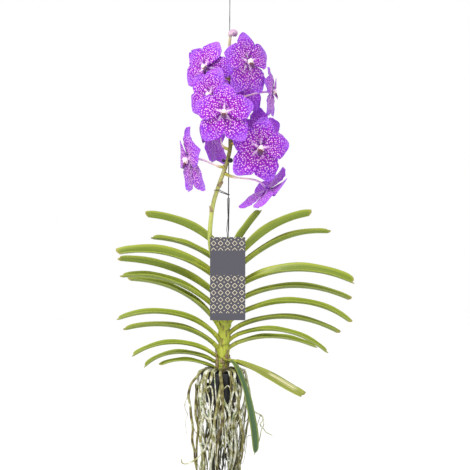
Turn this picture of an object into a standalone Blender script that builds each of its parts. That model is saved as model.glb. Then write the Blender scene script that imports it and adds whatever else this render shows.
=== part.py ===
"""Vanda orchid hanging in a small net pot on a steel wire.

Metres, +Z up. The plant hangs below the hook's seat and its front faces -Y. Its leaves stand in
two ranks, along -X and +X. Pieces are placed about the cane, whose axis stands at y = 0, and at
the end everything moves forward so that the hook's seat is the origin.
"""

import math
import random

import bmesh
import bpy
from mathutils import Matrix, Vector

# Running gap between pieces that touch
GAP = 0.0003

# Hanger wire: hook, straight shank, and a foot bent out through a slot of the pot
WIRE_RADIUS = 0.0008
HOOK_RADIUS = 0.010
SHANK_BACK = 0.018
SHANK_LEAN = -0.0045

# Net pot: its rim stands 0.663 m below the hook's seat
POT_X = -0.0138
RIM_Z = -0.663
RIM_RADIUS = 0.0365
FOOT_RADIUS = 0.029
POT_HEIGHT = 0.050
POT_WALL = 0.0014
POT_LIP = 0.0018
POT_SEGMENTS = 20
SLOT_COUNT = 8
SLOT_WIDTH = 0.007
SLOT_HEIGHT = 0.027
SLOT_DROP = 0.010

# Cane: the upright stem that carries the leaves, leaning a little to the right
CANE_TOP = 0.196
CANE_FOOT = -0.006
CANE_RADIUS = 0.0088
CANE_LEAN = 0.063

# Leaves and the sheaths that clasp the cane below each leaf's joint
LEAF_THICKNESS = 0.0019
LEAF_ROWS = 10
JOINT_AT = 0.15
JOINT_GAP = 0.0005
SHEATH_DROP = 0.016
SHEATH_HALF = 0.0055
SHEATH_THICKNESS = 0.0026

# Tepals: length, width, narrow claw and the sweep of their faces
DORSAL_SIZE = (0.050, 0.036)
PETAL_SIZE = (0.051, 0.040)
LATERAL_SIZE = (0.059, 0.040)
CLAW_WIDTH = 0.007
TEPAL_THICKNESS = 0.0010
TEPAL_SKEW = 1.60
TEPAL_ROWS = (0.06, 0.33, 0.58, 0.82, 0.985)
TEPAL_ACROSS = 4
HUB_RADIUS = 0.0062
HUB_DEPTH = 0.0042

# Lip and column of a bloom
COLUMN_RADIUS = 0.0036
COLUMN_LENGTH = 0.0075
LIP_LENGTH = 0.018
LIP_HALF_WIDTH = 0.0045

# Swing tag and its cord
TAG_SIZE = (0.0595, 0.0012, 0.140)
TAG_TOP = (-0.0035, -0.0262, -0.4335)
TAG_HOLE_RADIUS = 0.0018
TAG_HOLE_DROP = 0.005
CORD_RADIUS = 0.0005
SPIKE_TIE_WIRE = 0.0007
CLIP_HEIGHT = -0.3030
CLIP_RADIUS = 0.0011

# Aerial roots
CROWN_RADIUS = 0.0105
CROWN_DEPTH = 0.032
ROOT_SEED = 11
ROOT_SIDES = 5
ROOTS_THROUGH = 16


def clear_scene():
    for old in list(bpy.data.objects):
        bpy.data.objects.remove(old)


def finish(name, colour, roughness, metallic=0.0):
    """A plain material: the piece's own colour and shine."""
    made = bpy.data.materials.new(name)
    made.use_nodes = True
    shader = made.node_tree.nodes["Principled BSDF"]
    shader.inputs["Base Color"].default_value = (*colour, 1.0)
    shader.inputs["Roughness"].default_value = roughness
    shader.inputs["Metallic"].default_value = metallic
    return made


def place(name, mesh, material=None):
    """An object that shows this mesh."""
    made = bpy.data.objects.new(name, mesh)
    bpy.context.scene.collection.objects.link(made)
    if material:
        mesh.materials.clear()
        mesh.materials.append(material)
    return made


def mesh_of(name, build):
    """A mesh from a bmesh that `build` fills, with its faces turned outwards."""
    form = bmesh.new()
    build(form)
    bmesh.ops.recalc_face_normals(form, faces=form.faces)
    mesh = bpy.data.meshes.new(name)
    form.to_mesh(mesh)
    form.free()
    mesh.shade_smooth()
    return mesh


def curve_point(ends, share):
    """A point of the cubic Bezier curve with these four control points."""
    rest = 1.0 - share
    a, b, c, d = ends
    return a * rest**3 + b * (3 * rest * rest * share) + c * (3 * rest * share * share) + d * share**3


def smooth_path(points, steps):
    """Points of a Catmull-Rom curve through these points, `steps` to each stretch."""
    points = [Vector(p) for p in points]
    padded = [2 * points[0] - points[1], *points, 2 * points[-1] - points[-2]]
    path = []
    for i in range(1, len(padded) - 2):
        before, start, end, after = padded[i - 1 : i + 3]
        ends = (start, start + (end - before) / 6, end - (after - start) / 6, end)
        path += [curve_point(ends, k / steps) for k in range(steps)]
    return path + [points[-1]]


def blend(values, share):
    """The value at this share of a list of evenly spaced values."""
    place_in = share * (len(values) - 1)
    low = min(int(place_in), len(values) - 2)
    part = place_in - low
    return values[low] * (1 - part) + values[low + 1] * part


def sweep(name, path, radii, sides, material=None, closed=False):
    """A round rod along a path. `radii` is spread evenly along it, and flat caps close its ends."""
    count = len(path)
    tangents = []
    for i in range(count):
        before = path[i - 1] if closed or i else path[0]
        after = path[(i + 1) % count] if closed or i < count - 1 else path[-1]
        tangents.append((after - before).normalized())
    side = tangents[0].orthogonal().normalized()

    def build(form):
        nonlocal side
        rings = []
        for i, (centre, along) in enumerate(zip(path, tangents)):
            side = (side - along * side.dot(along)).normalized()
            other = along.cross(side)
            radius = blend(radii, i / (count - 1)) if len(radii) > 1 else radii[0]
            turns = [2 * math.pi * k / sides for k in range(sides)]
            ring = [centre + (side * math.cos(a) + other * math.sin(a)) * radius for a in turns]
            rings.append([form.verts.new(p) for p in ring])
        pairs = list(zip(rings, rings[1:]))
        if closed:
            pairs.append((rings[-1], rings[0]))
        for low, high in pairs:
            for k in range(sides):
                n = (k + 1) % sides
                form.faces.new((low[k], low[n], high[n], high[k]))
        if not closed:
            form.faces.new(list(reversed(rings[0])))
            form.faces.new(rings[-1])

    return place(name, mesh_of(name, build), material)


def blade(name, rows, thickness, material=None):
    """A thin blade through rows of points, cut into triangles before it is thickened."""

    def build(form):
        grid = [[form.verts.new(p) for p in row] for row in rows]
        for low, high in zip(grid, grid[1:]):
            for k in range(len(low) - 1):
                form.faces.new((low[k], low[k + 1], high[k + 1], high[k]))
        bmesh.ops.triangulate(form, faces=form.faces)

    made = place(name, mesh_of(name, build), material)
    solid = made.modifiers.new("Thickness", "SOLIDIFY")
    solid.thickness = thickness
    solid.offset = 0.0
    return made


def ball(name, centre, radii, turn=None, segments=8, rings=5):
    """An ellipsoid with these half sizes, turned by a rotation matrix."""

    def build(form):
        bmesh.ops.create_uvsphere(form, u_segments=segments, v_segments=rings, radius=1.0)
        spin = (turn or Matrix.Identity(3)).to_4x4()
        form.transform(Matrix.Translation(centre) @ spin @ Matrix.Diagonal((*radii, 1.0)))

    return place(name, mesh_of(name, build))


def fuse(name, pieces, material, solver="MANIFOLD"):
    """Joins pieces that overlap into one closed body."""
    first, *others = pieces
    first.name = name
    group = bpy.data.collections.new(name + "_pieces")
    bpy.context.scene.collection.children.link(group)
    for piece in others:
        bpy.context.scene.collection.objects.unlink(piece)
        group.objects.link(piece)
    join = first.modifiers.new("Join", "BOOLEAN")
    join.operation = "UNION"
    join.operand_type = "COLLECTION"
    join.collection = group
    join.solver = solver
    bpy.context.view_layer.update()
    joined = first.evaluated_get(bpy.context.evaluated_depsgraph_get())
    mesh = bpy.data.meshes.new_from_object(joined)
    first.modifiers.clear()
    first.data = mesh
    mesh.name = name
    mesh.materials.clear()
    mesh.materials.append(material)
    mesh.shade_smooth()
    for piece in others:
        bpy.data.objects.remove(piece)
    bpy.data.collections.remove(group)
    return first


def circle_arc(centre, radius, start, end, steps, plane="XZ"):
    """Points of an arc from one angle to another, in degrees from +X."""
    path = []
    for k in range(steps + 1):
        angle = math.radians(start + (end - start) * k / steps)
        across, up = radius * math.cos(angle), radius * math.sin(angle)
        offset = Vector((across, 0, up)) if plane == "XZ" else Vector((across, up, 0))
        path.append(Vector(centre) + offset)
    return path


# The hanger wire and the net pot


def shank_point(z):
    """A point of the wire's straight shank at this height."""
    share = (z + 0.028) / (RIM_Z + 0.028)
    return Vector((SHANK_LEAN * share, SHANK_BACK, z))


def hanger_wire(material):
    centre = (0, SHANK_BACK, -HOOK_RADIUS)
    hook = circle_arc(centre, HOOK_RADIUS + WIRE_RADIUS, 200, -62, 14)
    neck = [shank_point(-0.0235), shank_point(-0.028)]
    neck[0].x += 0.0012
    shank = [shank_point(z) for z in (-0.06, -0.30, -0.50, RIM_Z + 0.045)]
    foot_z = RIM_Z - SLOT_DROP - WIRE_RADIUS - GAP
    inside = RIM_RADIUS - 0.0070
    foot = [
        (POT_X + 0.0030, inside - 0.0015, RIM_Z + 0.008),
        (POT_X + 0.0005, inside, foot_z + 0.005),
        (POT_X, inside + 0.0012, foot_z + 0.0014),
        (POT_X, inside + 0.0035, foot_z),
        (POT_X, inside + 0.0110, foot_z),
    ]
    path = hook + neck + shank + [Vector(p) for p in foot]
    return sweep("hanger_wire", path, [WIRE_RADIUS], 5, material)


def pot_radius(depth):
    """The pot's outer radius at this depth below the rim."""
    return RIM_RADIUS + (FOOT_RADIUS - RIM_RADIUS) * depth / POT_HEIGHT


def net_pot(material):
    """A turned cup with an open floor and upright slots all round."""
    outer = [
        (RIM_RADIUS + POT_LIP, RIM_Z),
        (RIM_RADIUS + POT_LIP, RIM_Z - 0.003),
        (pot_radius(0.003), RIM_Z - 0.003),
        (FOOT_RADIUS, RIM_Z - POT_HEIGHT),
        (FOOT_RADIUS - 0.004, RIM_Z - POT_HEIGHT),
        (FOOT_RADIUS - 0.004, RIM_Z - POT_HEIGHT + 0.0015),
        (FOOT_RADIUS - POT_WALL, RIM_Z - POT_HEIGHT + 0.0015),
        (RIM_RADIUS - POT_WALL, RIM_Z),
    ]

    def build(form):
        profile = [form.verts.new((r, 0, z)) for r, z in outer]
        edges = [form.edges.new((profile[k], profile[(k + 1) % len(profile)])) for k in range(len(profile))]
        bmesh.ops.spin(
            form,
            geom=profile + edges,
            cent=(0, 0, 0),
            axis=(0, 0, 1),
            angle=2 * math.pi,
            steps=POT_SEGMENTS,
            use_duplicate=False,
        )
        bmesh.ops.remove_doubles(form, verts=form.verts, dist=0.00001)

    pot = place("net_pot", mesh_of("net_pot", build), material)
    cutters = bpy.data.collections.new("slot_cutters")
    bpy.context.scene.collection.children.link(cutters)
    for k in range(SLOT_COUNT):
        turn = Matrix.Rotation(math.pi / 2 + 2 * math.pi * k / SLOT_COUNT, 4, "Z")

        def slot(form, turn=turn):
            size = Matrix.Diagonal((0.012, SLOT_WIDTH, SLOT_HEIGHT, 1.0))
            middle = Vector((pot_radius(SLOT_DROP + SLOT_HEIGHT / 2), 0, RIM_Z - SLOT_DROP - SLOT_HEIGHT / 2))
            bmesh.ops.create_cube(form, size=1.0, matrix=turn @ Matrix.Translation(middle) @ size)

        cutter = place("slot_cutter", mesh_of("slot_cutter", slot))
        bpy.context.scene.collection.objects.unlink(cutter)
        cutters.objects.link(cutter)
    cut = pot.modifiers.new("Slots", "BOOLEAN")
    cut.operation = "DIFFERENCE"
    cut.operand_type = "COLLECTION"
    cut.collection = cutters
    bpy.context.view_layer.update()
    mesh = bpy.data.meshes.new_from_object(pot.evaluated_get(bpy.context.evaluated_depsgraph_get()))
    pot.modifiers.clear()
    pot.data = mesh
    for cutter in list(cutters.objects):
        bpy.data.objects.remove(cutter)
    bpy.data.collections.remove(cutters)
    pot.location.x = POT_X
    return pot


# The cane and its leaves. Heights are above the pot's rim, and +X is the right rank.

# name: side, foot height, tip (reach, height), take-off and tip angles above the horizon in degrees,
# how far the tip stands back, half width, fold of the halves and roll of the blade in degrees
LEAVES = {
    "leaf_left_01": (-1, 0.190, (0.129, 0.264), 50, 4, 0.004, 0.0135, 46, -24),
    "leaf_left_02": (-1, 0.168, (0.120, 0.226), 44, 2, 0.020, 0.0105, 42, 0),
    "leaf_left_03": (-1, 0.138, (0.174, 0.200), 47, -12, -0.030, 0.0150, 40, 32),
    "leaf_left_04": (-1, 0.112, (0.178, 0.189), 45, 2, 0.024, 0.0135, 44, -18),
    "leaf_left_05": (-1, 0.089, (0.169, 0.161), 48, -9, -0.018, 0.0120, 40, 0),
    "leaf_left_06": (-1, 0.056, (0.160, 0.155), 66, 0, 0.020, 0.0110, 40, 0),
    "leaf_left_07": (-1, 0.041, (0.175, 0.089), 60, -22, -0.016, 0.0110, 36, 0),
    "leaf_left_08": (-1, 0.026, (0.166, 0.070), 56, -16, 0.012, 0.0110, 38, -8),
    "leaf_left_09": (-1, 0.015, (0.149, 0.028), 46, -36, -0.020, 0.0095, 32, 0),
    "leaf_left_10": (-1, 0.006, (0.131, 0.007), 40, -46, 0.014, 0.0090, 32, 0),
    "leaf_left_11": (-1, -0.001, (0.104, 0.011), 30, -26, -0.004, 0.0080, 28, 0),
    "leaf_right_01": (1, 0.186, (0.068, 0.274), 68, 50, 0.010, 0.0115, 44, -30),
    "leaf_right_02": (1, 0.174, (0.151, 0.266), 50, 8, -0.020, 0.0140, 46, -26),
    "leaf_right_03": (1, 0.156, (0.184, 0.236), 46, -6, 0.016, 0.0120, 42, -6),
    "leaf_right_04": (1, 0.128, (0.222, 0.151), 40, -26, -0.024, 0.0150, 40, 30),
    "leaf_right_05": (1, 0.104, (0.219, 0.121), 38, -26, 0.014, 0.0115, 36, 0),
    "leaf_right_06": (1, 0.080, (0.217, 0.084), 38, -40, -0.014, 0.0115, 36, 0),
    "leaf_right_07": (1, 0.060, (0.200, 0.064), 36, -30, 0.016, 0.0110, 36, -6),
    "leaf_right_08": (1, 0.048, (0.177, 0.034), 36, -42, -0.022, 0.0095, 34, 0),
    "leaf_right_09": (1, 0.034, (0.161, 0.040), 34, -24, 0.014, 0.0095, 34, 0),
    "leaf_right_10": (1, 0.021, (0.138, -0.043), -12, -28, 0.010, 0.0085, 34, 10),
    "leaf_right_11": (1, 0.012, (0.056, -0.131), 42, -88, -0.047, 0.0085, 24, 0),
}
# Degrees by which a leaf sets off forwards, where it isn't in the plane of its rank
LEAF_YAW = {"leaf_right_11": 50}


def all_leaves():
    """Each leaf's measures with its yaw."""
    return {name: (*leaf, LEAF_YAW.get(name, 0)) for name, leaf in LEAVES.items()}


def cane_x(height):
    return POT_X + 0.0005 + CANE_LEAN * height


def leaf_frame(leaf, share):
    """Centre, direction, width direction and upper side of a leaf at a share of its length."""
    side, foot, (reach, tip_height), take_off, tip_angle, back, _, _, roll, yaw = leaf
    start = Vector((cane_x(foot), 0, RIM_Z + foot))
    tip = Vector((POT_X + side * reach, back, RIM_Z + tip_height))
    chord = (tip - start).length
    take_off, tip_angle = math.radians(take_off), math.radians(tip_angle)
    out = Vector((side * math.cos(take_off), 0, math.sin(take_off)))
    out.rotate(Matrix.Rotation(math.radians(-side * yaw), 3, "Z"))
    droop = Vector((side * math.cos(tip_angle), 0.3 * back / 0.02 * 0.1, math.sin(tip_angle)))
    ends = (start, start + out * 0.36 * chord, tip - droop * 0.36 * chord, tip)
    centre = curve_point(ends, share)
    step = 0.002
    along = (curve_point(ends, min(1, share + step)) - curve_point(ends, max(0, share - step))).normalized()
    wide = Vector((side * math.sin(math.radians(yaw)), math.cos(math.radians(yaw)), 0))
    wide = (wide - along * wide.dot(along)).normalized()
    upper = wide.cross(along) * (-side)
    turn = Matrix.Rotation(math.radians(roll) * min(1.0, share / 0.5), 3, along * side)
    return centre, along, turn @ wide, turn @ upper


def leaf_half_width(half, share):
    """The blade is a strap: nearly even, widest past the middle, and blunt at its tip."""
    strap = 0.80 + 0.20 * math.sin(math.pi * min(1.0, share * 1.05))
    tip = min(1.0, math.sqrt(max(0.0, 1.0 - ((share - 0.86) / 0.16) ** 2))) if share > 0.86 else 1.0
    return half * strap * max(tip, 0.42)


def leaf_row(leaf, share, half, spread=1.0):
    """Edge, keel and edge of a leaf's folded section, the two tip lobes uneven."""
    fold = math.radians(leaf[7]) * spread
    centre, along, wide, upper = leaf_frame(leaf, share)
    row = []
    for across in (-1, 0, 1):
        point = centre + wide * (across * half * math.cos(fold)) + upper * (abs(across) * half * math.sin(fold))
        if share > 0.99:
            point += along * (0.004 * across if across else -0.003)
        row.append(point)
    return row


def leaf_blade(name, leaf, material):
    shares = [JOINT_AT + (1.0 - JOINT_AT) * k / (LEAF_ROWS - 1) for k in range(LEAF_ROWS)]
    rows = [leaf_row(leaf, s, leaf_half_width(leaf[6], s)) for s in shares]
    return blade(name, rows, LEAF_THICKNESS, material)


def sheath(leaf):
    """The folded leaf base that rises along the cane and ends at the blade's joint."""
    side, foot, fold, yaw = leaf[0], leaf[1], math.radians(leaf[7]), math.radians(leaf[9])
    length = (leaf_frame(leaf, 0.0)[0] - leaf_frame(leaf, JOINT_AT)[0]).length
    joint_share = JOINT_AT * (1 - JOINT_GAP * (1 + yaw) / length)
    end, along, _, _ = leaf_frame(leaf, joint_share)
    low = max(foot - SHEATH_DROP, CANE_FOOT + 0.008)
    start = Vector((cane_x(low), 0, RIM_Z + low))
    reach = (end - start).length
    ends = (start, start + Vector((side * 0.2, 0, 1)) * 0.35 * reach, end - along * 0.45 * reach, end)
    rows = []
    for share in (0.0, 0.55):
        ahead = curve_point(ends, share + 0.01) - curve_point(ends, share)
        wide = Vector((side * math.sin(yaw), math.cos(yaw), 0))
        upper = wide.cross(ahead.normalized()) * (-side)
        half = SHEATH_HALF + (leaf_half_width(leaf[6], JOINT_AT) - SHEATH_HALF) * share
        rise, spread = upper * half * math.sin(fold), wide * half * math.cos(fold)
        rows.append([curve_point(ends, share) + spread * a + rise * abs(a) for a in (-1, 0, 1)])
    rows.append(leaf_row(leaf, joint_share, leaf_half_width(leaf[6], JOINT_AT)))
    return blade("sheath", rows, SHEATH_THICKNESS)


def cane(material):
    """The cane's axis with every sheath grown from it."""
    heights = [0.006, 0.05, 0.11, 0.16, CANE_TOP]
    axis = [Vector((cane_x(h), 0, RIM_Z + h)) for h in heights]
    axis.insert(0, Vector((axis[0].x, 0, RIM_Z + CANE_FOOT)))
    core = sweep("cane_axis", axis, [0.95 * CANE_RADIUS, CANE_RADIUS, CANE_RADIUS, 0.6 * CANE_RADIUS], 8)
    return fuse("cane", [core] + [sheath(leaf) for leaf in all_leaves().values()], material)


# The flower spike: a stalk from a leaf axil, bent to the left and then up, with a bloom on each pedicel

SPIKE_POINTS = [
    (-0.0195, -0.0165, -0.500),
    (-0.0290, -0.0195, -0.470),
    (-0.0337, -0.0195, -0.432),
    (-0.0290, -0.0120, -0.382),
    (-0.0185, -0.0010, -0.345),
    (-0.0065, 0.0085, -0.311),
    (0.0005, 0.0100, -0.282),
    (0.0040, 0.0085, -0.250),
    (0.0052, 0.0075, -0.217),
    (0.0045, 0.0075, -0.184),
    (0.0028, 0.0075, -0.150),
    (0.0004, 0.0070, -0.122),
    (-0.0006, 0.0065, -0.104),
    (0.0008, 0.0060, -0.094),
]
SPIKE_RADII = (0.0040, 0.0038, 0.0036, 0.0034, 0.0032, 0.0028, 0.0024, 0.0019)
BUD_CENTRE = (0.0042, 0.0050, -0.0875)

# name: hub, the way it faces as azimuth and elevation in degrees, roll, size, where its pedicel leaves the spike
BLOOMS = {
    "bloom_01": ((0.029, -0.030, -0.139), 43, 4, 4, 1.04, -0.156),
    "bloom_02": ((-0.040, 0.006, -0.144), -36, 4, 48, 0.95, -0.166),
    "bloom_03": ((-0.032, -0.016, -0.193), -34, -2, 48, 0.97, -0.208),
    "bloom_04": ((-0.009, -0.067, -0.226), -2, 0, 0, 1.00, -0.236),
    "bloom_05": ((0.071, 0.032, -0.183), 76, 0, 0, 0.86, -0.194),
    "bloom_06": ((0.047, 0.056, -0.254), 150, -6, 0, 0.95, -0.256),
    "bloom_07": ((0.050, -0.032, -0.283), 14, -6, -10, 1.06, -0.272),
    "bloom_08": ((-0.067, -0.006, -0.302), -70, -8, 0, 1.13, -0.3145),
    "bloom_09": ((0.064, 0.008, -0.352), 118, -46, 0, 1.00, -0.324),
    "bloom_10": ((-0.030, 0.052, -0.260), -118, -10, 0, 0.95, -0.284),
    "bloom_11": ((0.018, 0.050, -0.170), 170, 6, 0, 0.92, -0.180),
}
# A bloom whose tepals are drawn from another seed than its place in the list
TEPAL_SEEDS = {"bloom_07": 17}
# Pedicels that swing aside before they reach back past the hanger wire
PEDICEL_SWING = {"bloom_10": (-0.7, -0.2, 0)}


def bloom_frame(bloom):
    """The matrix from a bloom's own frame: x to its right, y up its dorsal sepal, z out of its face."""
    hub, azimuth, elevation, roll, size, _ = bloom
    a, e = math.radians(azimuth), math.radians(elevation)
    face = Vector((math.sin(a) * math.cos(e), -math.cos(a) * math.cos(e), math.sin(e)))
    up = (Vector((0, 0, 1)) - face * face.z).normalized()
    up = Matrix.Rotation(math.radians(roll), 3, face) @ up
    right = up.cross(face)
    turn = Matrix((right, up, face)).transposed() * size
    return Matrix.Translation(hub) @ turn.to_4x4()


def tepal_rows(size, angle, base, lift, reflex, cup, wave, phase):
    """Points of one tepal: a narrow claw, a broad rounded blade, its margin cupped and waved."""
    length, width = size
    direction = Vector((math.cos(math.radians(angle)), math.sin(math.radians(angle)), 0))
    sideways = Vector((-direction.y, direction.x, 0))
    rows = []
    for share in TEPAL_ROWS:
        swell = math.sin(math.pi * share**TEPAL_SKEW) ** 0.7
        half = 0.5 * CLAW_WIDTH * (1 - share) + 0.5 * width * swell
        row = []
        for k in range(TEPAL_ACROSS):
            across = 2 * k / (TEPAL_ACROSS - 1) - 1
            out = length * share * (1 - 0.10 * across * across * share)
            ripple = wave * share * across * math.sin(2 * math.pi * (0.9 * share + 0.25 * across) + phase)
            height = base + lift * math.sin(math.pi * share) - reflex * share * share + cup * across * across * share
            row.append(direction * out + sideways * (half * across) + Vector((0, 0, height + ripple)))
        rows.append(row)
    return rows


def bloom_tepals(name, bloom, seed, material):
    """Three sepals behind, two petals in front, all grown from the hub."""
    draw = random.Random(seed)
    frame = bloom_frame(bloom)
    plans = [
        (DORSAL_SIZE, 90, 0.0000, 0.002, 0.005, 0.003),
        (LATERAL_SIZE, -124, 0.0000, 0.001, 0.003, 0.002),
        (LATERAL_SIZE, -56, -0.0014, 0.001, 0.004, 0.002),
        (PETAL_SIZE, 16, 0.0022, 0.004, 0.004, 0.001),
        (PETAL_SIZE, 164, 0.0022, 0.004, 0.004, 0.001),
    ]
    pieces = [ball("hub", Vector(), (HUB_RADIUS, HUB_RADIUS, HUB_DEPTH), segments=8, rings=4)]
    for size, angle, base, lift, reflex, cup in plans:
        angle += draw.uniform(-3, 3)
        wave = draw.uniform(0.0010, 0.0022)
        phase = draw.uniform(0, 2 * math.pi)
        rows = tepal_rows(size, angle, base, lift, reflex + draw.uniform(-0.001, 0.002), cup, wave, phase)
        pieces.append(blade("tepal", rows, TEPAL_THICKNESS))
    made = fuse(name, pieces, material)
    made.data.transform(frame)
    return made


def bloom_lip(name, bloom, material):
    """The stout column over a tongue-shaped lip with two upright side lobes."""
    frame = bloom_frame(bloom)
    foot = HUB_DEPTH + GAP
    column_path = [Vector((0, 0.0005 * k, foot + COLUMN_LENGTH * k / 2)) for k in range(3)]
    column = sweep("column", column_path, [0.0032, COLUMN_RADIUS, 0.0024], 6)
    tongue_rows = []
    for k in range(4):
        share = k / 3
        half = LIP_HALF_WIDTH * (0.55 + 0.75 * math.sin(math.pi * share**1.3)) * (1 - 0.25 * share)
        drop = -0.0005 - LIP_LENGTH * (0.62 * share)
        out = foot + 0.0012 + LIP_LENGTH * (0.72 * share - 0.30 * share * share)
        tongue_rows.append([Vector((a * half, drop - 0.0010 * abs(a), out)) for a in (-1, 0, 1)])
    tongue = blade("tongue", tongue_rows, 0.0022)
    lobes = [
        ball("side_lobe", Vector((s * 0.0042, -0.0020, foot + 0.0034)), (0.0014, 0.0026, 0.0034), segments=5, rings=3)
        for s in (-1, 1)
    ]
    made = fuse(name, [column, tongue, *lobes], material)
    made.data.transform(frame)
    return made


def spike_path():
    return smooth_path(SPIKE_POINTS, 2)


def spike_point(z):
    """The point of the spike's centre line at this height."""
    path = spike_path()
    for low, high in zip(path, path[1:]):
        if low.z <= z <= high.z:
            return low.lerp(high, (z - low.z) / (high.z - low.z))
    return path[-1]


def pedicel(name):
    """The stalk and ovary of one bloom, from the spike to just behind the hub."""
    bloom = BLOOMS[name]
    frame = bloom_frame(bloom)
    start = spike_point(bloom[5])
    end = frame @ Vector((0, 0, -HUB_DEPTH - 2 * GAP))
    face = (frame.to_3x3() @ Vector((0, 0, 1))).normalized()
    reach = (end - start).length
    out = (end - start).normalized() + Vector((0, 0, -0.25)) + Vector(PEDICEL_SWING.get(name, (0, 0, 0)))
    ends = (start, start + out * 0.4 * reach, end - face * 0.42 * reach, end)
    path = [curve_point(ends, k / 5) for k in range(6)]
    return sweep("pedicel", path, [0.0018, 0.0013, 0.0015, 0.0019, 0.0021], 5)


def flower_spike(material):
    stalk = sweep("stalk", spike_path(), SPIKE_RADII, 7)
    return fuse("flower_spike", [stalk] + [pedicel(name) for name in BLOOMS], material)


def tip_bud(material):
    """The last bud, bent over at the top of the spike."""
    top = Vector(SPIKE_POINTS[-1])
    path = smooth_path(
        [
            top + Vector((0, 0, GAP + 0.0002)),
            top + Vector((0.0006, -0.0005, 0.0055)),
            Vector(BUD_CENTRE) + Vector((0.0030, 0, 0.0020)),
            Vector(BUD_CENTRE) + Vector((0.0062, 0, -0.0040)),
        ],
        2,
    )
    return sweep("tip_bud", path, [0.0016, 0.0050, 0.0072, 0.0066, 0.0020], 8, material)


# Ties, clip and tag


def belt(first, first_radius, second, second_radius, opening=40):
    """Points of an open loop round two rods, level with their centres, open on the first one's far side."""
    toward = second - first
    heading = math.degrees(math.atan2(toward.y, toward.x))
    lean = math.degrees(math.asin((first_radius - second_radius) / Vector((toward.x, toward.y)).length))
    near = circle_arc(first, first_radius, heading + 180 - opening / 2, heading + 90 - lean, 3, "XY")
    far = circle_arc(second, second_radius, heading + 90 - lean, heading - 90 + lean, 4, "XY")
    back = circle_arc(first, first_radius, heading - 90 + lean, heading - 180 + opening / 2, 3, "XY")
    return near + far + back


def spike_tie(material):
    """A wire tie round the spike and the hanger wire, with one free end curled up beside the wire."""
    spike, wire = spike_point(-0.354), shank_point(-0.3610)
    reach = SPIKE_TIE_WIRE + GAP
    path = belt(spike, 0.0038 + reach, wire, WIRE_RADIUS + reach)
    return sweep("spike_tie", path, [SPIKE_TIE_WIRE], 5, material)


def tag_cord_path():
    """A loop from behind the hanger wire, under the tie, down through the tag's hole."""
    top = shank_point(-0.3665)
    hole = Vector(TAG_TOP) + Vector((0, 0, -TAG_HOLE_DROP))
    side = WIRE_RADIUS + CORD_RADIUS + 2 * GAP
    face = TAG_SIZE[1] / 2 + CORD_RADIUS + GAP
    over = TAG_HOLE_DROP + 0.003
    points = [
        (top.x, top.y + side, top.z),
        (top.x + side, top.y + 0.0006, top.z - 0.0008),
        (top.x + side + 0.001, top.y - 0.020, top.z - 0.034),
        (hole.x + 0.0018, hole.y + 0.006, hole.z + 0.018),
        (hole.x + 0.0006, hole.y + face, hole.z + over),
        (hole.x + 0.0002, hole.y + face, hole.z + 0.0008),
        (hole.x, hole.y, hole.z - 0.0002),
        (hole.x - 0.0002, hole.y - face, hole.z + 0.0008),
        (hole.x - 0.0006, hole.y - face, hole.z + over),
        (hole.x - 0.0018, hole.y + 0.006, hole.z + 0.018),
        (top.x - side - 0.001, top.y - 0.020, top.z - 0.034),
        (top.x - side, top.y + 0.0006, top.z - 0.0008),
    ]
    return [Vector(p) for p in points]


def swing_tag(material):
    """A plain card with one punched hole."""
    width, thickness, height = TAG_SIZE
    centre = Vector(TAG_TOP) + Vector((0, 0, -height / 2))

    def card(form):
        size = Matrix.Diagonal((width, thickness, height, 1.0))
        bmesh.ops.create_cube(form, size=1.0, matrix=Matrix.Translation(centre) @ size)

    def punch(form):
        spot = Vector(TAG_TOP) + Vector((0, 0, -TAG_HOLE_DROP))
        lie = Matrix.Rotation(math.pi / 2, 4, "X")
        bmesh.ops.create_cone(
            form,
            cap_ends=True,
            segments=12,
            radius1=TAG_HOLE_RADIUS,
            radius2=TAG_HOLE_RADIUS,
            depth=4 * thickness,
            matrix=Matrix.Translation(spot) @ lie,
        )

    made = place("swing_tag", mesh_of("swing_tag", card), material)
    cutter = place("tag_punch", mesh_of("tag_punch", punch))
    cutter.hide_render = True
    cutter.display_type = "WIRE"
    cut = made.modifiers.new("Hole", "BOOLEAN")
    cut.operation = "DIFFERENCE"
    cut.object = cutter
    made.data.shade_flat()
    return made


def spike_clip(material):
    """A black claw round the spike and the wire, with two thumb lobes at its mouth."""
    spike, wire = spike_point(CLIP_HEIGHT), shank_point(CLIP_HEIGHT)
    around = belt(spike, 0.0044 + CLIP_RADIUS, wire, WIRE_RADIUS + CLIP_RADIUS + GAP, 110)
    claw = sweep("claw", around, [CLIP_RADIUS], 5)
    lobes = [
        ball("lobe", end + (end - spike) * grow, size, segments=7, rings=4)
        for end, grow, size in ((around[0], 0.30, (0.0028, 0.0022, 0.0030)), (around[-1], 0.55, (0.0042, 0.0030, 0.0042)))
    ]
    return fuse("spike_clip", [claw, *lobes], material)


# Aerial roots


def root(draw, path, thickness, steps=1):
    radii = [thickness, thickness * draw.uniform(0.85, 1.0), thickness * 0.9, thickness * 0.45]
    return sweep("root", smooth_path(path, steps), radii, ROOT_SIDES)


def around_pot(radius, azimuth, height):
    angle = math.radians(azimuth)
    return Vector((POT_X + radius * math.cos(angle), radius * math.sin(angle), RIM_Z + height))


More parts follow.
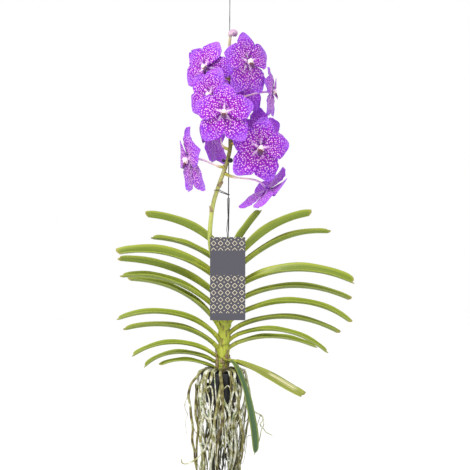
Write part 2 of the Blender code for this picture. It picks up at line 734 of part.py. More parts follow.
# Roots over the rim: radius, azimuth where they cross it, and then points from the rim's centre
SHOWN_ROOTS = [
    (0.0024, -153, (-0.053, -0.020, -0.022), (-0.055, -0.018, -0.046), (-0.050, -0.016, -0.080),
     (-0.049, -0.014, -0.115), (-0.045, -0.012, -0.146), (-0.040, -0.010, -0.190), (-0.043, -0.010, -0.232)),
    (0.0021, -132, (-0.034, -0.036, -0.022), (-0.034, -0.038, -0.050), (-0.026, -0.034, -0.072),
     (-0.016, -0.030, -0.090), (-0.022, -0.026, -0.112), (-0.034, -0.024, -0.136), (-0.052, -0.024, -0.150),
     (-0.064, -0.022, -0.153), (-0.069, -0.020, -0.145)),
    (0.0029, -92, (0.001, -0.045, -0.024), (0.002, -0.044, -0.054), (0.001, -0.041, -0.084),
     (-0.006, -0.036, -0.112), (-0.008, -0.034, -0.146), (-0.006, -0.030, -0.190), (-0.010, -0.026, -0.250)),
    (0.0022, -68, (0.022, -0.040, -0.022), (0.029, -0.036, -0.050), (0.032, -0.032, -0.086),
     (0.036, -0.028, -0.104), (0.034, -0.024, -0.140), (0.022, -0.022, -0.165), (0.012, -0.022, -0.205)),
    (0.0016, 7, (0.047, 0.004, -0.030), (0.051, -0.002, -0.062), (0.058, -0.004, -0.068),
     (0.071, -0.004, -0.078), (0.066, -0.004, -0.088), (0.074, -0.004, -0.100), (0.086, -0.004, -0.108)),
    (0.0021, 36, (0.044, 0.018, -0.034), (0.046, 0.010, -0.070), (0.041, 0.002, -0.106),
     (0.028, -0.006, -0.140), (0.012, -0.012, -0.165)),
    (0.0023, 136, (-0.038, 0.030, -0.030), (-0.040, 0.026, -0.075), (-0.034, 0.020, -0.130),
     (-0.036, 0.014, -0.190), (-0.030, 0.010, -0.262)),
    (0.0023, 112, (-0.022, 0.041, -0.034), (-0.018, 0.038, -0.080), (-0.020, 0.030, -0.130),
     (-0.012, 0.026, -0.180), (-0.014, 0.022, -0.236)),
    (0.0022, 58, (0.029, 0.038, -0.034), (0.026, 0.036, -0.080), (0.022, 0.028, -0.126),
     (0.026, 0.022, -0.175), (0.020, 0.018, -0.222)),
]


# Roots out through a slot: radius, slot's azimuth, height, and then points from the rim's centre
SLOT_ROOTS = [
    (0.0027, -90, -0.020, (-0.003, -0.043, -0.036), (-0.009, -0.040, -0.062), (-0.013, -0.034, -0.095),
     (-0.020, -0.028, -0.135), (-0.016, -0.026, -0.185), (-0.019, -0.022, -0.238)),
    (0.0028, -135, -0.024, (-0.031, -0.031, -0.042), (-0.030, -0.028, -0.070), (-0.036, -0.022, -0.105),
     (-0.030, -0.022, -0.150), (-0.034, -0.018, -0.200), (-0.027, -0.016, -0.258)),
    (0.0028, -45, -0.018, (0.031, -0.031, -0.034), (0.024, -0.032, -0.058), (0.018, -0.032, -0.085),
     (0.024, -0.028, -0.125), (0.016, -0.026, -0.170), (0.019, -0.020, -0.228)),
    (0.0026, -90, -0.031, (0.004, -0.042, -0.044), (0.014, -0.038, -0.070), (0.009, -0.034, -0.100),
     (0.016, -0.030, -0.140), (0.006, -0.028, -0.190), (0.010, -0.022, -0.262)),
    (0.0025, 180, -0.022, (-0.043, -0.004, -0.040), (-0.044, -0.012, -0.066), (-0.040, -0.016, -0.098),
     (-0.043, -0.010, -0.150), (-0.037, -0.006, -0.205)),
    (0.0025, 0, -0.024, (0.041, -0.006, -0.042), (0.034, -0.016, -0.064), (0.024, -0.026, -0.082),
     (0.027, -0.020, -0.128), (0.031, -0.012, -0.180), (0.022, -0.008, -0.246)),
]


def rim_crossing(radius, azimuth):
    """The first points of a root that leaves the crown and bends over the rim."""
    outside = RIM_RADIUS + POT_LIP + radius + 0.0012
    return [
        around_pot(0.3 * CROWN_RADIUS, azimuth, -0.020),
        around_pot(0.020, azimuth, radius + 0.0010),
        around_pot(RIM_RADIUS, azimuth, radius + 0.0022),
        around_pot(outside, azimuth, -0.001),
    ]


def slot_crossing(azimuth, height):
    """The first points of a root that leaves the crown and grows out through a slot of the pot."""
    return [
        around_pot(0.3 * CROWN_RADIUS, azimuth, height + 0.002),
        around_pot(RIM_RADIUS - 0.008, azimuth, height + 0.001),
        around_pot(RIM_RADIUS + 0.004, azimuth, height - 0.003),
    ]


def hanging_root(draw, turn, spread):
    """A root that drops through the pot's open floor and swings about on its way down."""
    length = draw.uniform(0.18, 0.29)
    inside = 0.0205 * spread
    path = [
        around_pot(0.35 * CROWN_RADIUS * spread, turn, -0.020),
        around_pot(inside, turn, -POT_HEIGHT + 0.010),
        around_pot(inside, turn, -POT_HEIGHT - 0.003),
    ]
    swing = draw.uniform(25, 70) * draw.choice((-1, 1))
    for step in (0.16, 0.34, 0.52, 0.70, 0.86, 1.0):
        reach = inside + 0.016 * spread * math.sin(math.pi * step) + draw.uniform(-0.003, 0.004)
        height = -POT_HEIGHT - (length - POT_HEIGHT) * step
        path.append(around_pot(reach, turn + swing * step + draw.uniform(-10, 10), height))
    return root(draw, path, draw.uniform(0.0019, 0.0028))


def roots(material):
    """A crown below the cane, roots down through the open floor, and roots over the rim."""
    draw = random.Random(ROOT_SEED)
    crown_path = [Vector((POT_X, 0, RIM_Z + h)) for h in (CANE_FOOT - GAP, CANE_FOOT - 0.007, -CROWN_DEPTH)]
    pieces = [sweep("crown", crown_path, [0.0070, CROWN_RADIUS, 0.0060], 8)]
    for radius, azimuth, *points in SHOWN_ROOTS:
        beyond = [Vector(p) + Vector((POT_X, 0, RIM_Z)) for p in points]
        pieces.append(root(draw, rim_crossing(radius, azimuth) + beyond, radius))
    for radius, azimuth, height, *points in SLOT_ROOTS:
        beyond = [Vector(p) + Vector((POT_X, 0, RIM_Z)) for p in points]
        pieces.append(root(draw, slot_crossing(azimuth, height) + beyond, radius))
    for k in range(ROOTS_THROUGH):
        pieces.append(hanging_root(draw, 137.5 * k, math.sqrt((k + 0.5) / ROOTS_THROUGH)))
    return fuse("aerial_roots", pieces, material)


def build():
    clear_scene()
    steel = finish("steel_wire", (0.30, 0.31, 0.33), 0.35, 1.0)
    black = finish("black_plastic", (0.012, 0.012, 0.020), 0.45)
    card = finish("printed_card", (0.100, 0.090, 0.115), 0.6)
    cord = finish("dark_cord", (0.03, 0.03, 0.035), 0.7)
    leaf_green = finish("leaf", (0.24, 0.38, 0.04), 0.4)
    cane_green = finish("cane", (0.30, 0.38, 0.06), 0.5)
    spike_green = finish("spike", (0.55, 0.60, 0.22), 0.45)
    violet = finish("tepals", (0.42, 0.07, 0.75), 0.5)
    dark_lip = finish("lip", (0.08, 0.005, 0.10), 0.4)
    bud_pink = finish("bud", (0.45, 0.28, 0.33), 0.5)
    velamen = finish("root", (0.50, 0.50, 0.36), 0.8)

    hanger_wire(steel)
    net_pot(black)
    cane(cane_green)
    for name, leaf in all_leaves().items():
        leaf_blade(name, leaf, leaf_green)
    flower_spike(spike_green)
    tip_bud(bud_pink)
    for seed, (name, bloom) in enumerate(BLOOMS.items(), 1):
        bloom_tepals(name + "_tepals", bloom, TEPAL_SEEDS.get(name, seed), violet)
        bloom_lip(name + "_lip", bloom, dark_lip)
    spike_tie(black)
    spike_clip(black)
    swing_tag(card)
    sweep("tag_cord", tag_cord_path(), [CORD_RADIUS], 6, cord, closed=True)
    roots(velamen)
    for piece in bpy.context.scene.objects:
        piece.location.y -= SHANK_BACK


build()
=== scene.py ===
import math
import random

import bpy
import numpy as np
from mathutils import Matrix, Vector


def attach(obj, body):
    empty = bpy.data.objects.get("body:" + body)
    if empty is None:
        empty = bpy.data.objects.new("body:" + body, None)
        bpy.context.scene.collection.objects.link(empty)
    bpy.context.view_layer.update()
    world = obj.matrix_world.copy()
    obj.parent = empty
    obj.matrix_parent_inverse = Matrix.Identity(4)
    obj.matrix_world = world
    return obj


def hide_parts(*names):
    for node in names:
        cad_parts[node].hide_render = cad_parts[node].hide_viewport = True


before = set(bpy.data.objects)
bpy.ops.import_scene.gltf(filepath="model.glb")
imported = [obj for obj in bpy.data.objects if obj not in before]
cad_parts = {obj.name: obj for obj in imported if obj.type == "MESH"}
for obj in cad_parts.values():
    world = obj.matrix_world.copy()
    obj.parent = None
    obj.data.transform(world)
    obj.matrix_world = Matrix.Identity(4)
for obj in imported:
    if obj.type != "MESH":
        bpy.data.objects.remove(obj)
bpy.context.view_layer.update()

# Hanger wire: one length of drawn steel wire, bent by hand into a hook above the plant.
# Its straight shank runs down behind the flowers and leaves, and its foot turns out
# through a slot of the pot, so the whole plant hangs from it.
SHANK_BACK = 0.018
SHANK_LEAN = -0.0045
WIRE_RADIUS = 0.0008
HOOK_RADIUS = 0.010
POT_X = -0.0138
RIM_Z = -0.663
RIM_RADIUS = 0.0365
SLOT_DROP = 0.010
GAP = 0.0003


def linear(colour):
    """The linear colour that Blender takes for an sRGB hex value."""
    parts = [int(colour[k : k + 2], 16) / 255 for k in (1, 3, 5)]
    return (*(p / 12.92 if p <= 0.04045 else ((p + 0.055) / 1.055) ** 2.4 for p in parts), 1.0)


def add(tree, kind, values=None, links=None, stops=None, **settings):
    """Adds one node with its settings, its sockets' values and its links, and a ramp's stops."""
    made = tree.nodes.new(kind)
    for name, value in settings.items():
        setattr(made, name, value)
    for name, value in (values or {}).items():
        made.inputs[name].default_value = value
    for name, (source, output) in (links or {}).items():
        tree.links.new(source.outputs[output], made.inputs[name])
    if stops:
        ramp = made.color_ramp.elements
        while len(ramp) < len(stops):
            ramp.new(0.5)
        for element, (position, colour) in zip(ramp, stops):
            element.position = position
            element.color = linear(colour)
    return made


def new_finish(name, roughness, **sockets):
    """A material with its roughness and plain sockets set, its node tree and its shader."""
    made = bpy.data.materials.new(name)
    made.use_nodes = True
    shader = made.node_tree.nodes["Principled BSDF"]
    shader.inputs["Roughness"].default_value = roughness
    for socket, value in sockets.items():
        shader.inputs[socket.replace("_", " ")].default_value = value
    return made, made.node_tree, shader


def finish_off(tree, shader, colour, roughness=None, height=None, strength=0.3, depth=0.0005):
    """Links a colour, a roughness and a height to a material's shader."""
    tree.links.new(colour[0].outputs[colour[1]], shader.inputs["Base Color"])
    if roughness:
        tree.links.new(roughness[0].outputs[roughness[1]], shader.inputs["Roughness"])
    if height:
        bump = add(tree, "ShaderNodeBump", {"Strength": strength, "Distance": depth}, {"Height": height})
        tree.links.new(bump.outputs["Normal"], shader.inputs["Normal"])


def new_form():
    """Points, faces, each point's place on its part and each face's finish."""
    return {"points": [], "faces": [], "lie": [], "upper": [], "finish": []}


def grow(form, points, faces, lie, upper, finish):
    """Adds points and faces to a form."""
    first = len(form["points"])
    form["points"] += [tuple(p) for p in points]
    form["faces"] += [tuple(first + k for k in face) for face in faces]
    form["lie"] += [tuple(p) for p in lie]
    form["upper"] += list(upper)
    form["finish"] += [finish] * len(faces)


def smooth_path(points, steps):
    """Points of a smooth curve through these points, `steps` to each stretch."""
    points = [Vector(p) for p in points]
    padded = [2 * points[0] - points[1], *points, 2 * points[-1] - points[-2]]
    path = []
    for i in range(1, len(padded) - 2):
        before, start, end, after = padded[i - 1 : i + 3]
        ends = (start, start + (end - before) / 6, end - (after - start) / 6, end)
        path += [curve_point(ends, k / steps) for k in range(steps)]
    return path + [points[-1]]


def curve_point(ends, share):
    """The point of the cubic curve with these four control points."""
    rest = 1.0 - share
    a, b, c, d = ends
    return a * rest**3 + b * (3 * rest * rest * share) + c * (3 * rest * share * share) + d * share**3


def tube(form, path, radii, sides, finish=0, mark=0.0, closed=False, flat=1.0):
    """Adds a rod along a path, its radii spread evenly along it."""
    path = np.array([tuple(p) for p in path])
    count = len(path)
    if closed:
        along = np.roll(path, -1, axis=0) - np.roll(path, 1, axis=0)
    else:
        along = np.gradient(path, axis=0)
    along /= np.maximum(np.linalg.norm(along, axis=1, keepdims=True), 1e-12)
    radius = np.interp(np.linspace(0, 1, count), np.linspace(0, 1, len(radii)), radii)
    side = np.array(Vector(along[0]).orthogonal().normalized())
    turns = 2 * math.pi * np.arange(sides) / sides
    points, lie = [], []
    for i in range(count):
        side = side - along[i] * side.dot(along[i])
        side = side / np.linalg.norm(side)
        other = np.cross(along[i], side)
        ring = np.outer(np.cos(turns), side) + flat * np.outer(np.sin(turns), other)
        points += list(path[i] + ring * radius[i])
        lie += [(i / (count - 1), k / sides, mark) for k in range(sides)]
    faces = []
    last = count if closed else count - 1
    for i in range(last):
        low, high = i * sides, ((i + 1) % count) * sides
        faces += [(low + k, low + (k + 1) % sides, high + (k + 1) % sides, high + k) for k in range(sides)]
    if not closed:
        faces.append(tuple(range(sides - 1, -1, -1)))
        faces.append(tuple((count - 1) * sides + k for k in range(sides)))
    grow(form, points, faces, lie, [1.0] * len(points), finish)


def show(name, form, finishes, node, flat=False):
    """Makes the piece from its form, sets it on the body and lets it stand for its CAD node."""
    mesh = bpy.data.meshes.new(name)
    points = np.array(form["points"]) - (0, SHANK_BACK, 0)
    mesh.from_pydata(points.tolist(), [], form["faces"])
    for made in finishes:
        mesh.materials.append(made)
    mesh.polygons.foreach_set("material_index", form["finish"])
    lie = mesh.attributes.new("lie", "FLOAT_VECTOR", "POINT")
    lie.data.foreach_set("vector", np.array(form["lie"]).ravel())
    upper = mesh.attributes.new("upper", "FLOAT", "POINT")
    upper.data.foreach_set("value", form["upper"])
    if flat:
        mesh.shade_flat()
    else:
        mesh.shade_smooth()
    made = bpy.data.objects.new(name, mesh)
    bpy.context.scene.collection.objects.link(made)
    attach(made, "root")
    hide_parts(node)
    return made


def circle_arc(centre, radius, start, end, steps, plane="XZ"):
    """Points of an arc from one angle to another, in degrees from +X."""
    path = []
    for k in range(steps + 1):
        angle = math.radians(start + (end - start) * k / steps)
        across, up = radius * math.cos(angle), radius * math.sin(angle)
        offset = Vector((across, 0, up)) if plane == "XZ" else Vector((across, up, 0))
        path.append(Vector(centre) + offset)
    return path


def shank_point(z):
    """A point of the wire's straight shank at this height."""
    share = (z + 0.028) / (RIM_Z + 0.028)
    return Vector((SHANK_LEAN * share, SHANK_BACK, z))


# Drawn galvanised steel: a dull grey metal with fine lengthwise streaks from the die,
# which give it a soft, uneven shine and darker patches where it has weathered.
steel, tree, shader = new_finish("drawn_steel_wire", 0.38, Metallic=1.0)
where = add(tree, "ShaderNodeTexCoord")
# Streaks 0.2 mm across and 6 mm long
stretch = add(tree, "ShaderNodeMapping", {"Scale": (5000.0, 5000.0, 160.0)}, {"Vector": (where, "Object")})
streaks = add(tree, "ShaderNodeTexNoise", {"Scale": 1.0, "Detail": 3.0}, {"Vector": (stretch, "Vector")})
patches = add(tree, "ShaderNodeTexNoise", {"Scale": 40.0, "Detail": 4.0}, {"Vector": (where, "Object")})
tone = add(
    tree, "ShaderNodeValToRGB", links={"Fac": (patches, "Fac")},
    stops=[(0.35, "#55575b"), (0.65, "#9c9ea2")],
)
# Among and below the blooms the wire is painted dark grey: painted shade where it runs behind the blooms and
# leaves
parts = add(tree, "ShaderNodeSeparateXYZ", links={"Vector": (where, "Object")})
low = add(
    tree, "ShaderNodeMapRange", {"From Min": -0.27, "From Max": -0.12, "To Min": 0.85, "To Max": 0.0},
    {"Value": (parts, "Z")},
)
wire_painted_shade_tone = add(
    tree, "ShaderNodeMix", {7: linear("#1c1d20")}, {0: (low, "Result"), 6: (tone, "Color")}, data_type="RGBA"
)
shine = add(tree, "ShaderNodeMapRange", {"To Min": 0.26, "To Max": 0.52}, {"Value": (streaks, "Fac")})
finish_off(tree, shader, (wire_painted_shade_tone, 2), (shine, "Result"), (streaks, "Fac"), 0.15, 0.0001)

hook = circle_arc((0, SHANK_BACK, -HOOK_RADIUS), HOOK_RADIUS + WIRE_RADIUS - 0.00005, 200, -62, 30)
neck = [shank_point(-0.0235), shank_point(-0.028)]
neck[0].x += 0.0012
shank = [shank_point(z) for z in (-0.06, -0.18, -0.30, -0.40, -0.50, -0.57, RIM_Z + 0.045)]
foot_z = RIM_Z - SLOT_DROP - WIRE_RADIUS - GAP
inside = RIM_RADIUS - 0.0070
foot = [
    (POT_X + 0.0030, inside - 0.0015, RIM_Z + 0.008),
    (POT_X + 0.0005, inside, foot_z + 0.005),
    (POT_X, inside + 0.0012, foot_z + 0.0014),
    (POT_X, inside + 0.0035, foot_z),
    (POT_X, inside + 0.0110, foot_z),
]
form = new_form()
tube(form, hook + neck + shank + [Vector(p) for p in foot], [WIRE_RADIUS], 14)
show("hanger_wire_drawn", form, [steel], "hanger_wire")

# Net pot: a small injection-moulded cup of black polypropylene with a rolled rim, an open
# floor ring and eight tall slots, through which the roots grow out of it.
FOOT_RADIUS = 0.029
POT_HEIGHT = 0.050
POT_WALL = 0.0014
POT_LIP = 0.0018
SLOT_COUNT = 8
SLOT_WIDTH = 0.007
SLOT_HEIGHT = 0.027


def pot_radius(depth):
    """The pot's outer radius at this depth below the rim."""
    return RIM_RADIUS + (FOOT_RADIUS - RIM_RADIUS) * depth / POT_HEIGHT


def pot_shell(form):
    """The wall as two skins with the slots left open and their edges closed."""
    half = math.asin(0.5 * SLOT_WIDTH / pot_radius(SLOT_DROP + SLOT_HEIGHT / 2))
    turns, open_turn = [], []
    for k in range(SLOT_COUNT):
        middle = math.pi / 2 + 2 * math.pi * k / SLOT_COUNT
        step = 2 * math.pi / SLOT_COUNT
        turns += [middle - half, middle, middle + half]
        open_turn += [True, True, False]
        spare = step - 2 * half
        turns += [middle + half + spare * j / 4 for j in (1, 2, 3)]
        open_turn += [False, False, False]
    slot_top, slot_foot = SLOT_DROP, SLOT_DROP + SLOT_HEIGHT
    depths = [0.0, 0.003, slot_top, slot_top + 0.009, slot_top + 0.018, slot_foot, 0.0435, POT_HEIGHT]
    open_row = [False, False, True, True, True, False, False]
    skins = []
    for inward in (0.0, POT_WALL):
        skins.append([[(pot_radius(d) - inward, t, RIM_Z - d) for t in turns] for d in depths])
    count, rows = len(turns), len(depths)
    points = [
        (POT_X + r * math.cos(t), r * math.sin(t), z)
        for skin in skins for row in skin for r, t, z in row
    ]

    def spot(skin, row, turn):
        """The number of a point of one of the two skins."""
        return skin * rows * count + row * count + turn % count

    def is_open(row, turn):
        """Whether the wall is open there, at a slot."""
        return 0 <= row < rows - 1 and open_row[row] and open_turn[turn % count]

    faces = []
    for row in range(rows - 1):
        for turn in range(count):
            if is_open(row, turn):
                continue
            a, b = (row, turn), (row, turn + 1)
            c, d = (row + 1, turn + 1), (row + 1, turn)
            faces.append((spot(0, *d), spot(0, *c), spot(0, *b), spot(0, *a)))
            faces.append((spot(1, *a), spot(1, *b), spot(1, *c), spot(1, *d)))
            if is_open(row, turn - 1):
                faces.append((spot(0, *a), spot(1, *a), spot(1, *d), spot(0, *d)))
            if is_open(row, turn + 1):
                faces.append((spot(0, *c), spot(1, *c), spot(1, *b), spot(0, *b)))
            if row == 0 or is_open(row - 1, turn):
                faces.append((spot(0, *a), spot(0, *b), spot(1, *b), spot(1, *a)))
            if row == rows - 2 or is_open(row + 1, turn):
                faces.append((spot(0, *c), spot(0, *d), spot(1, *d), spot(1, *c)))
    grow(form, points, faces, [(0, 0, 0)] * len(points), [1.0] * len(points), 0)


def pot_ring(form, profile, sides=72):
    """A ring turned round the pot's axis from a closed profile of radius and height."""
    points = []
    for k in range(sides):
        turn = 2 * math.pi * k / sides
        points += [(POT_X + r * math.cos(turn), r * math.sin(turn), z) for r, z in profile]
    count = len(profile)
    faces = []
    for k in range(sides):
        here, there = k * count, ((k + 1) % sides) * count
        faces += [
            (here + j, there + j, there + (j + 1) % count, here + (j + 1) % count)
            for j in range(count)
        ]
    grow(form, points, faces, [(0, 0, 0)] * len(points), [1.0] * len(points), 0)


# Moulded black polypropylene: a waxy half-gloss with faint flow marks from the mould and a
# film of dust and dried lime that greys it here and there.
black, tree, shader = new_finish("moulded_black_polypropylene", 0.42, IOR=1.49)
where = add(tree, "ShaderNodeTexCoord")
# Lime and dust lie in patches of about 8 mm, and the mould's texture is 0.5 mm
dust = add(tree, "ShaderNodeTexNoise", {"Scale": 125.0, "Detail": 6.0}, {"Vector": (where, "Object")})
grain = add(tree, "ShaderNodeTexNoise", {"Scale": 2000.0, "Detail": 2.0}, {"Vector": (where, "Object")})
tone = add(
    tree, "ShaderNodeValToRGB", links={"Fac": (dust, "Fac")},
    stops=[(0.40, "#0c0c12"), (0.60, "#17181f"), (0.78, "#3a3b48")],
)
shine = add(tree, "ShaderNodeMapRange", {"To Min": 0.32, "To Max": 0.66}, {"Value": (dust, "Fac")})
finish_off(tree, shader, (tone, "Color"), (shine, "Result"), (grain, "Fac"), 0.2, 0.0002)

form = new_form()
pot_shell(form)
lip_out = RIM_RADIUS + POT_LIP
pot_ring(form, [
    (RIM_RADIUS - POT_WALL, RIM_Z - 0.0002), (RIM_RADIUS - 0.0004, RIM_Z), (lip_out - 0.0008, RIM_Z),
    (lip_out, RIM_Z - 0.0008), (lip_out, RIM_Z - 0.0024), (lip_out - 0.0006, RIM_Z - 0.003),
    (RIM_RADIUS - 0.0006, RIM_Z - 0.003), (RIM_RADIUS - POT_WALL, RIM_Z - 0.0028),
])
pot_ring(form, [
    (FOOT_RADIUS - 0.004, RIM_Z - POT_HEIGHT), (FOOT_RADIUS - 0.0002, RIM_Z - POT_HEIGHT),
    (FOOT_RADIUS - 0.0002, RIM_Z - POT_HEIGHT + 0.0015), (FOOT_RADIUS - 0.004, RIM_Z - POT_HEIGHT + 0.0015),
])
show("net_pot_moulded", form, [black], "net_pot")

# Leaves: two ranks of thick, folded straps that grew from the cane one above the other. The
# foot of each is a sheath that clasps the cane, and the blade breaks off it at a joint. Tips
# are bitten off unevenly. Heights are above the pot's rim, and +X is the right rank.
CANE_LEAN = 0.063
LEAF_THICKNESS = 0.0019
JOINT_AT = 0.15
# name: side, foot height, tip (reach, height), take-off and tip angles, tip's distance back,
# half width, fold of the halves and roll of the blade, angles in degrees
LEAVES = {
    "leaf_left_01": (-1, 0.190, (0.129, 0.264), 50, 4, 0.004, 0.0135, 46, -24),
    "leaf_left_02": (-1, 0.168, (0.120, 0.226), 44, 2, 0.020, 0.0105, 42, 0),
    "leaf_left_03": (-1, 0.138, (0.174, 0.200), 47, -12, -0.030, 0.0150, 40, 32),
    "leaf_left_04": (-1, 0.112, (0.178, 0.189), 45, 2, 0.024, 0.0135, 44, -18),
    "leaf_left_05": (-1, 0.089, (0.169, 0.161), 48, -9, -0.018, 0.0120, 40, 0),
    "leaf_left_06": (-1, 0.056, (0.160, 0.155), 66, 0, 0.020, 0.0110, 40, 0),
    "leaf_left_07": (-1, 0.041, (0.175, 0.089), 60, -22, -0.016, 0.0110, 36, 0),
    "leaf_left_08": (-1, 0.026, (0.166, 0.070), 56, -16, 0.012, 0.0110, 38, -8),
    "leaf_left_09": (-1, 0.015, (0.149, 0.028), 46, -36, -0.020, 0.0095, 32, 0),
    "leaf_left_10": (-1, 0.006, (0.131, 0.007), 40, -46, 0.014, 0.0090, 32, 0),
    "leaf_left_11": (-1, -0.001, (0.104, 0.011), 30, -26, -0.004, 0.0080, 28, 0),
    "leaf_right_01": (1, 0.186, (0.068, 0.274), 68, 50, 0.010, 0.0115, 44, -30),
    "leaf_right_02": (1, 0.174, (0.151, 0.266), 50, 8, -0.020, 0.0140, 46, -26),
    "leaf_right_03": (1, 0.156, (0.184, 0.236), 46, -6, 0.016, 0.0120, 42, -6),
    "leaf_right_04": (1, 0.128, (0.222, 0.151), 40, -26, -0.024, 0.0150, 40, 30),
    "leaf_right_05": (1, 0.104, (0.219, 0.121), 38, -26, 0.014, 0.0115, 36, 0),
    "leaf_right_06": (1, 0.080, (0.217, 0.084), 38, -40, -0.014, 0.0115, 36, 0),
    "leaf_right_07": (1, 0.060, (0.200, 0.064), 36, -30, 0.016, 0.0110, 36, -6),
    "leaf_right_08": (1, 0.048, (0.177, 0.034), 36, -42, -0.022, 0.0095, 34, 0),
    "leaf_right_09": (1, 0.034, (0.161, 0.040), 34, -24, 0.014, 0.0095, 34, 0),
    "leaf_right_10": (1, 0.021, (0.138, -0.043), -12, -28, 0.010, 0.0085, 34, 10),
    "leaf_right_11": (1, 0.012, (0.056, -0.131), 42, -88, -0.047, 0.0085, 24, 0),
}
LEAF_YAW = {"leaf_right_11": 50}
# Degrees by which a leaf that is rolled by 10 degrees or less has sagged open towards the front
SAG = 15
LEAF_SAG = {"leaf_right_10": 34, "leaf_right_11": 0}
# Share by which a blade is wider at its tip, and the damaged leaf is much wider there
TIP_SPREAD = 0.06
LEAF_SPREAD = {"leaf_right_10": 0.62}
LEAF_COLUMNS = 13
# Shares of the chord and of the tip's distance back that bend a leaf's middle line
LEAF_HANDLE = 0.36
DROOP_SWAY = 1.5
RIPPLE = 0.0005
# The bitten tip: its slant, its notch at the keel and its rounded corners
BITE_SLANT, BITE_NOTCH, BITE_CORNER = 0.0036, 0.0034, 0.0020


def sheet(form, grid, thickness, lie, finish=0):
    """Adds a thin blade on a grid of points. Its thickness is one value, or one for each point."""
    grid = np.array(grid, float)
    rows, count, _ = grid.shape
    normal = np.cross(np.gradient(grid, axis=0), np.gradient(grid, axis=1))
    normal /= np.maximum(np.linalg.norm(normal, axis=2, keepdims=True), 1e-12)
    half = 0.5 * np.broadcast_to(thickness, (rows, count))[..., None]
    points = np.concatenate([(grid + normal * half).reshape(-1, 3), (grid - normal * half).reshape(-1, 3)])
    size = rows * count
    faces = []
    for i in range(rows - 1):
        for k in range(count - 1):
            a, b = i * count + k, i * count + k + 1
            c, d = b + count, a + count
            faces += [(a, d, c, b), (size + a, size + b, size + c, size + d)]
    edge = [i * count for i in range(rows)]
    edge += [(rows - 1) * count + k for k in range(1, count)]
    edge += [i * count + count - 1 for i in range(rows - 2, -1, -1)]
    edge += [k for k in range(count - 2, 0, -1)]
    for a, b in zip(edge, edge[1:] + edge[:1]):
        faces.append((a, size + a, size + b, b))
    lie = np.array(lie, float).reshape(-1, 3)
    upper = [1.0] * size + [0.0] * size
    grow(form, points, faces, np.concatenate([lie, lie]), upper, finish)


def cane_x(height):
    """How far right the cane's middle is at this height above the rim."""
    return POT_X + 0.0005 + CANE_LEAN * height


def leaf_plan(name):
    """A leaf's values, then the degrees that it is turned round the cane and has sagged open."""
    plan = LEAVES[name]
    sag = LEAF_SAG.get(name, SAG if abs(plan[8]) <= 10 else 0)
    return *plan, LEAF_YAW.get(name, 0), sag


def leaf_frame(leaf, share):
    """Centre, direction, width direction and upper side of a leaf at a share of its length."""
    side, foot, (reach, tip_height), take_off, tip_angle, back, _, _, roll, yaw, sag = leaf
    start = Vector((cane_x(foot), 0, RIM_Z + foot))
    tip = Vector((POT_X + side * reach, back, RIM_Z + tip_height))
    chord = (tip - start).length
    take_off, tip_angle = math.radians(take_off), math.radians(tip_angle)
    out = Vector((side * math.cos(take_off), 0, math.sin(take_off)))
    out.rotate(Matrix.Rotation(math.radians(-side * yaw), 3, "Z"))
    droop = Vector((side * math.cos(tip_angle), DROOP_SWAY * back, math.sin(tip_angle)))
    ends = (start, start + out * LEAF_HANDLE * chord, tip - droop * LEAF_HANDLE * chord, tip)
    centre = curve_point(ends, share)
    step = 0.002
    along = (curve_point(ends, min(1, share + step)) - curve_point(ends, max(0, share - step))).normalized()
    wide = Vector((side * math.sin(math.radians(yaw)), math.cos(math.radians(yaw)), 0))
    wide = (wide - along * wide.dot(along)).normalized()
    upper = wide.cross(along) * (-side)
    turn = Matrix.Rotation(math.radians(roll + sag) * min(1.0, share / 0.5), 3, along * side)
    return centre, along, turn @ wide, turn @ upper


def leaf_half_width(half, share):
    """The blade is a strap: nearly even, widest near the middle, and blunt at its tip."""
    strap = 0.80 + 0.20 * math.sin(math.pi * min(1.0, share * 1.05))
    tip = min(1.0, math.sqrt(max(0.0, 1.0 - ((share - 0.86) / 0.16) ** 2))) if share > 0.86 else 1.0
    return half * strap * max(tip, 0.42)


def folded_row(leaf, centre, wide, upper, half):
    """Points across a leaf: two flat halves that rise from a rounded keel."""
    fold = math.radians(leaf[7])
    row = []
    for k in range(LEAF_COLUMNS):
        across = (2 * k / (LEAF_COLUMNS - 1) - 1) * leaf[0]
        # The keel is rounded, and the rise still runs from 0 to 1
        rise = (math.sqrt(across * across + 0.02) - 0.1414) / 0.8685
        belly = 0.05 * math.sin(math.pi * abs(across))
        aside = wide * (across * half * math.cos(fold))
        point = centre + aside + upper * (half * (rise * math.sin(fold) + belly))
        row.append((point, across))
    return row


